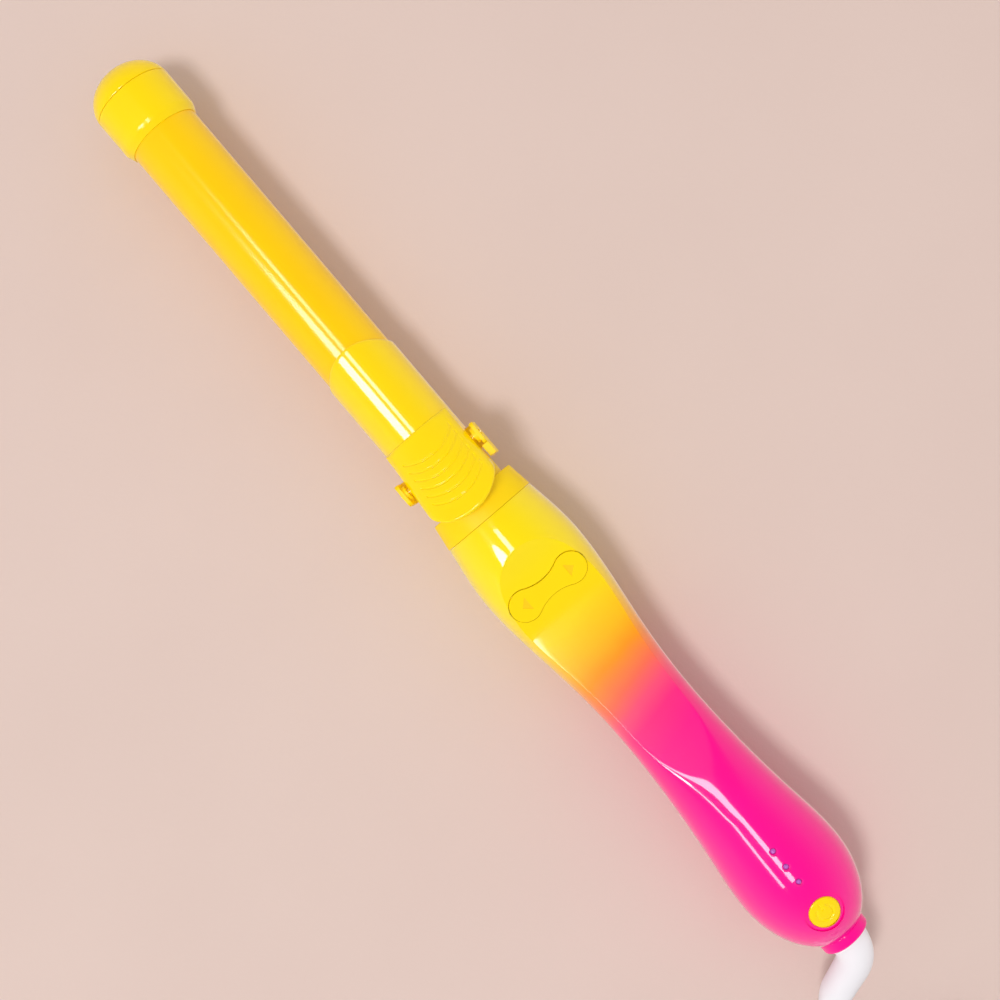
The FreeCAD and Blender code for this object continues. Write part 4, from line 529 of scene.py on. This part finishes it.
# Front shell: at each x a half circle cut by the scoop's floor, outside and inside. Sections lie close
# on the scoop's steep front face, points crowd at the crease, and the crease softens to the rear.
tail_x = X_BULGE + (X_TAIL - X_BULGE) * np.sin(np.linspace(0, math.pi / 2, 40)[1:])
x = np.concatenate([np.linspace(X_NECK, FACE_START, 15), np.linspace(FACE_START, FACE_END, 56)[1:],
                    np.linspace(FACE_END, X_BULGE, 170)[1:], tail_x])[:, None]
r, floor = handle_radius(x), scoop_floor(x)
crease = np.maximum(np.arccos(np.minimum(floor / r, 1)), math.radians(12))
u = np.linspace(0, 1, 29)
above_crease = crease * (1 - (1 - u) ** CREASE_PULL)
below_crease = crease + (math.pi / 2 - crease) * u[1:] ** CREASE_PULL
half = np.concatenate([above_crease, below_crease], 1)
q = np.concatenate([-half[:, :0:-1], half], 1)
fade_out = np.clip((x - X_SOFT) / SOFT_L, 0, 1)
soft = CREASE_SOFT + REAR_SOFT * fade_out ** 2 * (3 - 2 * fade_out)
outer = np.stack([x + 0 * q, r * np.sin(q), under(r * np.cos(q), floor, soft)], -1)
q = np.linspace(math.pi / 2, -math.pi / 2, 61)
inner = np.stack([x + 0 * q, (r - WALL) * np.sin(q), under((r - WALL) * np.cos(q), floor - WALL, soft)], -1)
outer[:, [0, -1], 2] = inner[:, [0, -1], 2] = 0
front = joined("front_shell", np.concatenate([outer, inner], 1) + (0, 0, AXIS_Z + PARTING), lacquer)

STEP = 0.01
before, ROCKER_Z, after = through(scoop_knots, X_ROCKER + np.array([-STEP, 0, STEP]))
TILT = math.atan((before - after) / (2 * STEP))


def on_scoop(points):
    """Moves points drawn on a flat floor at the origin onto the scoop at the rocker: turned by its tilt
    about Y, x' = x cos t + z sin t, z' = z cos t - x sin t."""
    x, y, z = np.moveaxis(np.asarray(points, float), -1, 0)
    c, s = math.cos(TILT), math.sin(TILT)
    return np.stack([X_ROCKER + x * c + z * s, y, AXIS_Z + ROCKER_Z + z * c - x * s], -1)


def bone_outline(grow, count=96):
    """Dog-bone outline: two lobe circles of radius 5.6 at y = +-9.6, joined by two arcs of radius 14.8 that
    touch both lobes and leave a waist of 6.4; grow moves it outward."""
    lobe, lobe_y, waist = 5.6, 9.6, 3.2
    bend = (lobe_y ** 2 + waist ** 2 - lobe ** 2) / (2 * (lobe - waist))
    meet = math.atan2(lobe_y, waist + bend)
    end = np.linspace(-meet, math.pi + meet, count)
    side = np.linspace(math.pi - meet, math.pi + meet, count // 2)[1:-1]
    lobes = np.stack([(lobe + grow) * np.cos(end), lobe_y + (lobe + grow) * np.sin(end)], -1)
    waists = np.stack([-(waist + bend) - (bend - grow) * np.cos(side), (bend - grow) * np.sin(side)], -1)
    half = np.concatenate([lobes, waists])
    return np.concatenate([half, -half])


def prism(outline, heights):
    """Loops of a flat outline laid at the given heights."""
    flat = np.broadcast_to(outline, (len(heights), *outline.shape))
    return np.concatenate([flat, np.broadcast_to(np.reshape(heights, (-1, 1, 1)), (*flat.shape[:2], 1))], -1)


def pierce(piece, *cutters):
    """Applies the piece's modifiers and takes the cutters' volumes out of it."""
    for cutter in cutters:
        cut = piece.modifiers.new("opening", "BOOLEAN")
        cut.operation, cut.object, cut.solver = "DIFFERENCE", cutter, "EXACT"
    shape = bpy.data.meshes.new_from_object(piece.evaluated_get(bpy.context.evaluated_depsgraph_get()))
    piece.modifiers.clear()
    piece.data = shape
    for cutter in cutters:
        bpy.data.objects.remove(cutter)
    shape.shade_smooth()
    shape.set_sharp_from_angle(angle=math.radians(30))


# Openings: the rocker's slot, the power button's hole with a dish that follows the skin round it, and
# for each light a hole that flares into a dimple. OFF_GRID keeps the cutters' corners off the mesh lines.
SLOT_GAP, SLOT_LOW, SLOT_HIGH = 0.25, -6.0, 9.0
HOLE_R, HOLE_LOW, CUT_TOP, DISH_R, DISH_SINK, DISH_RINGS = 5.55, 6, 24, 6.9, 0.5, 12
PIPE_HOLE, DIMPLE_R, DIMPLE_SINK, PIPE_LOW, PIPE_TOP = 0.98, 1.65, 0.42, 14, 26
CIRCLE, OFF_GRID = 128, 0.017
q = np.linspace(0, 2 * math.pi, CIRCLE, endpoint=False) + OFF_GRID
circle = np.stack([np.cos(q), np.sin(q)], -1)
slot_cut = joined("slot_cut", on_scoop(prism(bone_outline(SLOT_GAP), [SLOT_LOW, SLOT_HIGH])), lacquer)
hole = prism(circle * HOLE_R + (X_BUTTON, 0), [AXIS_Z + HOLE_LOW, AXIS_Z + CUT_TOP])
button_cut = joined("button_cut", hole, lacquer)
dish = circle * np.linspace(0.5, DISH_R, DISH_RINGS)[:, None, None] + (X_BUTTON, 0)
dish_z = np.sqrt(handle_radius(dish[..., 0]) ** 2 - dish[..., 1] ** 2) + AXIS_Z - DISH_SINK
dish_top = prism(circle * DISH_R + (X_BUTTON, 0), [AXIS_Z + CUT_TOP])
dish = np.concatenate([np.concatenate([dish, dish_z[..., None]], -1), dish_top])
dish_cut = joined("dish_cut", dish, lacquer)
flare = np.array([(PIPE_HOLE, PIPE_LOW, 0), (PIPE_HOLE, -DIMPLE_SINK, 1), (DIMPLE_R, 0.1, 1),
                  (DIMPLE_R, PIPE_TOP, 0)])[:, :, None, None]
light_cuts = []
for light_x in LIGHT_X:
    depth = AXIS_Z + flare[:, 1] + flare[:, 2] * handle_radius(np.array([light_x]))
    ring = circle[None, ::4] * flare[:, 0] + (light_x, 0)
    rings = np.concatenate([ring, np.broadcast_to(depth, (*ring.shape[:2], 1))], -1)
    light_cuts.append(joined("light_cut", rings, lacquer))
pierce(front, *light_cuts, slot_cut, dish_cut, button_cut)
fit(front, "handle", "ombre_plastic", "handle_front_shell")

# Rear shell: with its low feet it keeps its moulded CAD shape and takes the same lacquer.
# The shells part on the middle plane; the screws sit deep in counterbored holes.
dress(lacquer, "handle_rear_shell")

# Rotation rocker: lemon ABS dog-bone plate that tips left or right on its own pin, with
# a sunk arrow on each lobe, spark-eroded dull, whose floor is painted a deeper lemon as shade.
# Its edge is rounded where thumb and gap meet it.
ARROW_LEAST, ARROW_MOST = 0.1, 0.5
rocker = eased("rotation_rocker", "rocker_plate", 0.16, lemon)
# The sunk arrow floors get a deeper, rougher lemon: painted shade in the recess, on a spark-eroded finish.
eroded_and_shaded = moulded("lemon_eroded_abs_painted_shade", "#FFD200", "#FACA00", 0.55, 0.0, grain=0.2, depth=0.02)
rocker.data.materials.append(eroded_and_shaded)
plate_up = (math.sin(TILT), 0, math.cos(TILT))
level = np.array([f.center for f in rocker.data.polygons]) / MM @ plate_up
upward = np.array([f.normal for f in rocker.data.polygons]) @ plate_up > 0.99
plate_top = level[upward].max()
sunk = upward & (level < plate_top - ARROW_LEAST) & (level > plate_top - ARROW_MOST)
rocker.data.polygons.foreach_set("material_index", sunk.astype(np.int32))
fit(rocker, "rocker", "lemon_plastic", "rotation_rocker")

# Power button: round lemon ABS key that follows the handle's skin, with a shallow power sign, a ring
# that is open towards the tip and a short bar in the gap. A flange and a stem hold it under the shell.
KEY_TOP_R, KEY_EDGE, KEY_SINK, KEY_STEPS = 4.85, 0.55, 0.2, 160
SIGN_R, SIGN_W, SIGN_DEPTH, SIGN_GAP, GAP_FADE = 2.75, 0.5, 0.34, 0.62, 0.12
BAR_W, BAR_START, BAR_END, BAR_FADE = 0.45, 1.2, 4.0, 0.3
SIDE_R, FLANGE_R, FLANGE_T, FLANGE_SINK, STEM_R, SIDE_H = 5.4, 6.5, 1, 6.17, 1.6, 4
edge_turn = np.sin(np.linspace(0, math.pi / 2, 9)[1:])
rings = np.concatenate([np.linspace(0, KEY_TOP_R, 78), KEY_TOP_R + KEY_EDGE * edge_turn])[:, None]
q = np.linspace(0, 2 * math.pi, KEY_STEPS, endpoint=False)
x, y = X_BUTTON + rings * np.cos(q), rings * np.sin(q)
open_side = np.abs(q - math.pi)
ring_ends = np.clip((open_side - SIGN_GAP) / GAP_FADE, 0, 1)
ring_cut = np.clip(1 - np.abs(rings - SIGN_R) / SIGN_W, 0, 1) * ring_ends
along_bar, off_bar = X_BUTTON - x, np.abs(y)
bar_ends = np.clip((along_bar - BAR_START) / BAR_FADE, 0, 1) * np.clip((BAR_END - along_bar) / BAR_FADE, 0, 1)
bar_cut = np.clip(1 - off_bar / BAR_W, 0, 1) * bar_ends
sign = SIGN_DEPTH * np.sin(np.maximum(ring_cut, bar_cut) * math.pi / 2)
over_edge = np.clip((rings - KEY_TOP_R) / KEY_EDGE, 0, 1)
edge_fall = KEY_EDGE * (1 - np.sqrt(np.maximum(1 - over_edge ** 2, 0)))
top = np.sqrt(handle_radius(x) ** 2 - y ** 2) - KEY_SINK - sign - edge_fall
cap = np.stack([x, y, top + AXIS_Z], -1)
flange = handle_radius(np.array([X_BUTTON]))[0] - FLANGE_SINK + AXIS_Z
flange_low, stem_end = flange - FLANGE_T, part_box("power_button")[0][2] / MM
under_rings = np.array([(SIDE_R, flange + SIDE_H), (SIDE_R, flange), (FLANGE_R, flange),
                        (FLANGE_R, flange_low), (STEM_R, flange_low), (STEM_R, stem_end), (0, stem_end)])
stem = under_rings[:, :1, None] * np.stack([np.cos(q), np.sin(q), 0 * q], -1) + np.array([X_BUTTON, 0, 0])
stem[..., 2] = under_rings[:, 1:]
key = np.concatenate([cap, stem])
power_key = put_mesh("power_key", key, grid_faces(len(key), KEY_STEPS, False, True), lemon)
fit(power_key, "button", "lemon_plastic", "power_button")

# Indicator lights: three violet acrylic pipes with polished tops, pressed into the front shell over
# small lamps on the board. The acrylic is clear but deeply tinted, so it looks nearly solid when unlit.
violet, tree, shader, place = new_finish("violet_clear_acrylic")
haze = add(tree, "ShaderNodeTexNoise", {"Vector": place, "Scale": per(10 / 9)}).outputs[0]
tree.links.new(mixed(tree, haze, to_linear("#B24CC4"), to_linear("#CC74D6")), shader.inputs["Base Color"])
shader.inputs["Roughness"].default_value = 0.12
shader.inputs["IOR"].default_value = 1.49
shader.inputs["Transmission Weight"].default_value = 0.1
dress(violet, "light_pipes", "status_leds")

# Cord collar: hot pink gloss ABS ring that ends the handle and holds the cord's swivel.
# Its neck is clamped between the two shells, and its outer rim is well rounded.
X_END, COLLAR_R, COLLAR_NECK, COLLAR_BORE, COLLAR_IN = 191.25, 9.0, 7.4, 5.6, 6
pink = moulded("hot_pink_gloss_abs", "#FF0096", "#FA0090", 0.18, 0.4)
x_inside, x_shoulder = X_TAIL - COLLAR_IN, X_TAIL + 0.1
corners = [(x_inside, COLLAR_BORE), (x_inside, COLLAR_NECK), (x_shoulder, COLLAR_NECK),
           (x_shoulder, COLLAR_R), (X_END, COLLAR_R), (X_END, COLLAR_BORE)]
collar = lathe("cord_collar_ring", soft_profile(corners, [0.1, 0.3, 0.1, 0.5, 1.3, 0.4]), pink)
fit(collar, "handle", "pink_plastic", "cord_collar")

# Strain relief: soft white vinyl sleeve that swivels in the collar, turns aside at once and
# tapers onto the cord. It is moulded over the cord in one piece and flares outside the rim.
CORD_ROUTE = np.array([(214.9, -24.7, 11.2), (226.4, -33.7, 7.6), (240.8, -37.0, 3.9), (254.4, -37.0, 3.9)])
HEADING, PITCH = math.radians(-64.6), math.radians(-18)
RELIEF_R, RELIEF_TAPER, RELIEF_IN, CORNER_OUT, BEND_R, TAPER_AT = 5.5, 2.2, 6.3, 7, 10, 15.5
RIM_FLARE, FLARE_L, RUN_POINTS = 1.45, 11, 30
# Soft vinyl: a milky white with a dull, even sheen.
vinyl = moulded("white_soft_vinyl", "#F2F3F8", "#E9EAF0", 0.42, 0.0, grain=0.5, depth=0.01)
level_part = math.cos(PITCH)
leg = np.array([math.cos(HEADING) * level_part, math.sin(HEADING) * level_part, math.sin(PITCH)])
corner = np.array([X_END + CORNER_OUT, 0, AXIS_Z])
bend = BEND_R * math.tan(math.acos(leg[0]) / 2)
run_out = (CORD_ROUTE[1] - CORD_ROUTE[0]) / np.linalg.norm(CORD_ROUTE[1] - CORD_ROUTE[0])
s = np.linspace(0, 1, RUN_POINTS)[:, None]
ease = s ** 2 * (3 - 2 * s)
b0, b1, taper = corner - (bend, 0, 0), corner + leg * bend, corner + leg * TAPER_AT
straight = np.array([X_TAIL - RELIEF_IN, 0, AXIS_Z]) * (1 - s) + b0 * s
turn = (1 - s) ** 2 * b0 + 2 * s * (1 - s) * corner + s ** 2 * b1
pull = 0.9 * np.linalg.norm(CORD_ROUTE[0] - taper)
last = ((1 + 2 * s) * (1 - s) ** 2 * taper + s * (1 - s) ** 2 * pull * leg + ease * CORD_ROUTE[0]
        + s ** 2 * (s - 1) * pull * run_out)
line = np.concatenate([straight[:-1], turn[:-1], (b1 * (1 - s) + taper * s)[:-1], last])
girth = np.concatenate([np.full(3 * (RUN_POINTS - 1), RELIEF_R), RELIEF_R - RELIEF_TAPER * ease[:, 0]])
from_rim = np.linalg.norm(np.diff(line, axis=0, prepend=line[:1]), axis=1).cumsum() - (X_END - line[0, 0])
girth += np.where(from_rim > 0.05, RIM_FLARE * np.exp(-np.maximum(from_rim, 0) / FLARE_L), 0)
girth[-3:] -= np.array([0.05, 0.2, 0.45])


def swept(name, line, girth, finish, steps=72):
    """Round sleeve along a line: p + r (n cos q + b sin q), with n square to the line in the plane of
    its turn and b = t x n."""
    t = np.gradient(line, axis=0)
    t /= np.linalg.norm(t, axis=1, keepdims=True)
    n = np.cross(t, np.cross(np.array([1.0, 0, 0]), leg))
    n /= np.linalg.norm(n, axis=1, keepdims=True)
    b = np.cross(t, n)
    q = np.linspace(0, 2 * math.pi, steps, endpoint=False)[None, :, None]
    around = n[:, None] * np.cos(q) + b[:, None] * np.sin(q)
    return joined(name, line[:, None] + girth[:, None, None] * around, finish)


fit(swept("relief_sleeve", line, girth, vinyl), "cord", "white_vinyl", "strain_relief")

# Cord: round white vinyl mains lead, 2 m long, 5.2 mm thick. It leaves the sleeve, comes down to
# the table and is folded into a hank in line with the iron, with the plug on top.
CORD_D, FOLD_R, RUN_L, LANE, LAYER, DRAW, LIE_Z = 5.2, 15.7, 78.0, 6.1, 5.7, 7.0, 3.9
PLUG_IN, PLUG_Z = 45, 30.15
fold0 = CORD_ROUTE[-1, 0] + CORD_D
fold1, waist = fold0 + RUN_L, fold0 + RUN_L / 2
hank_y = CORD_ROUTE[-1, 1] + FOLD_R + LANE

# One row for each run of the hank: its side, its lane outward, and its layer at the start and at the end.
RUNS = np.array([(-1, 1, 0, 0), (1, 1, 0, 0), (-1, 0, 0, 0), (1, 0, 0, 1), (-1, 0, 1, 1), (1, 1, 1, 1),
                 (-1, 1, 1, 1), (1, 2, 1, 2), (-1, 1, 2, 2), (1, 1, 2, 2), (-1, 0, 2, 2), (1, 0, 2, 3),
                 (-1, 0, 3, 3), (1, 1, 3, 4)], float)
side, lane, low, high = RUNS.T
run_y = hank_y + side * (FOLD_R + lane * LANE)
z0, z1 = LIE_Z + low * LAYER, LIE_Z + high * LAYER
mid = np.where(np.arange(len(RUNS)) == len(RUNS) - 1, z0, (z0 + z1) / 2)
hand = ((RUN_L / 2) ** 2 + DRAW ** 2) / (2 * RUN_L)
from_x, to_x = np.where(side < 0, fold0, fold1), np.where(side < 0, fold1, fold0)
hand_x, waist_y = -side * hand, run_y - side * DRAW
runs = np.stack([np.stack([from_x + hand_x, run_y, z0], -1), np.stack([waist - hand_x, waist_y, mid], -1),
                 np.stack([waist + hand_x, waist_y, mid], -1), np.stack([to_x - hand_x, run_y, z1], -1)], 1)
last_y = hank_y + LANE - FOLD_R
next_y = np.append(run_y[1:], last_y)
around = np.radians([-67.5, -22.5, 22.5, 67.5])[None]
fold_r = np.abs(next_y - run_y)[:, None] / 2 / math.cos(math.radians(22.5))
swing = -side[:, None] * fold_r
fold_y = (run_y + next_y)[:, None] / 2 + swing * np.sin(around)
folds = np.stack([to_x[:, None] + swing * np.cos(around), fold_y, z1[:, None] + 0 * around], -1)
plug_start = np.array([fold0 + PLUG_IN, hank_y, PLUG_Z])
ending = np.array([(fold0 + 10, last_y, 26.7), (fold0 + 24, last_y + 2.5, 28.0),
                   (plug_start[0] - 16, hank_y - 1.5, 30.0), plug_start - (CORD_D, 0, 0), plug_start])
hank = np.concatenate([np.concatenate([runs, folds], 1).reshape(-1, 3), ending])
control = np.concatenate([CORD_ROUTE, hank]) * MM
path = bpy.data.curves.new("mains_lead", "CURVE")
path.dimensions = "3D"
path.bevel_depth, path.bevel_resolution, path.resolution_u = CORD_D / 2 * MM, 5, 6
spline = path.splines.new("NURBS")
spline.points.add(len(control) - 1)
spline.points.foreach_set("co", np.column_stack([control, np.ones(len(control))]).ravel())
spline.order_u = 3
spline.use_endpoint_u = True
path.materials.append(vinyl)
lead = bpy.data.objects.new("mains_lead", path)
scene.collection.objects.link(lead)
fit(lead, "cord", "white_vinyl", "cord_lead", "cord_hank")

# Tie and plug: a flat white strap round the hank's waist, and a moulded two-blade plug with
# brass blades. Both are soft white vinyl, the strap a little greyer.
strap = moulded("white_strap_vinyl", "#DCDDE2", "#D2D3D9", 0.5, 0.0, grain=0.8, depth=0.03)
tie = eased("cord_tie", "hank_strap", 0.25, strap)
fit(tie, "cord", "tie_vinyl", "cord_tie")
plug = eased("plug_body", "plug_grip", 0.4, vinyl)
fit(plug, "cord", "white_vinyl", "plug_body")

# Inner works: motor, gears, slip rings, heater, boards and screws, seen only with the shells off. Each
# keeps its CAD shape and gets its own finish.


def worked_metal(name, colour, deep, roughness, pitch):
    """Bare metal with fine drawn lines: noise stretched 40 times along X, its pitch in millimetres."""
    finish, tree, shader, place = new_finish(name)
    drawn = add(tree, "ShaderNodeMapping", {"Vector": place, "Scale": (0.025, 1, 1)}).outputs[0]
    lines = add(tree, "ShaderNodeTexNoise", {"Vector": drawn, "Scale": per(pitch), "Detail": 3.0}).outputs[0]
    tree.links.new(mixed(tree, lines, to_linear(colour), to_linear(deep)), shader.inputs["Base Color"])
    spread = add(tree, "ShaderNodeMapRange", {0: lines, 3: roughness - 0.06, 4: roughness + 0.08}).outputs[0]
    tree.links.new(spread, shader.inputs["Roughness"])
    skin = add(tree, "ShaderNodeBump", {"Strength": 0.15, "Distance": 0.01 * MM, "Height": lines})
    tree.links.new(skin.outputs[0], shader.inputs["Normal"])
    shader.inputs["Metallic"].default_value = 1.0
    return finish


steel = worked_metal("bright_drawn_steel", "#C9CACE", "#B4B5BA", 0.25, 0.25)
dress(steel, "spoon_rivets", "shell_screws", "board_screws", "drive_shaft", "motor_pinion")
coil = copied("clamp_spring", "clamp_coil", steel)
fit(coil, "barrel", "bright_steel", "clamp_spring")
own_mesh(coil)
dress(worked_metal("plated_motor_can", "#A9AAAE", "#9A9B9F", 0.35, 0.4), "gear_motor")
dress(worked_metal("extruded_aluminium", "#D2D3D6", "#C2C3C7", 0.38, 0.5), "heater_blocks")
dress(worked_metal("copper_band", "#D08A5C", "#BE7A4E", 0.3, 0.3), "slip_rings")
dress(worked_metal("sintered_bronze", "#A87F4C", "#8E6A3E", 0.5, 0.2), "front_bush", "rear_bush")
dress(worked_metal("brass_blade", "#D8C48A", "#CBB67A", 0.28, 0.3), "plug_blades")
dress(moulded("heat_proof_lemon", "#F5D800", "#EFD200", 0.4, 0.0, grain=0.5), "barrel_base", "rocker_carrier")
dress(moulded("insulating_ceramic", "#E2DED2", "#D6D1C4", 0.6, 0.0, grain=0.3), "ptc_heater", "thermistor")
dress(moulded("glass_filled_nylon", "#2B2B2D", "#222224", 0.55, 0.0, grain=0.3),
      "slip_ring_drum", "brush_holder", "motor_cradle")
dress(moulded("natural_acetal", "#EFEDE0", "#E6E3D4", 0.4, 0.0, grain=0.6), "drive_gear")
dress(moulded("pressed_carbon", "#1A1A1A", "#101010", 0.7, 0.0, grain=0.15), "carbon_brushes")
dress(moulded("solder_masked_board", "#0E5A32", "#0A4A28", 0.35, 0.1, grain=1.5),
      "rocker_board", "power_board")
dress(moulded("black_component_epoxy", "#18181A", "#101012", 0.5, 0.0, grain=0.3),
      "rotation_switches", "power_switch", "board_components")
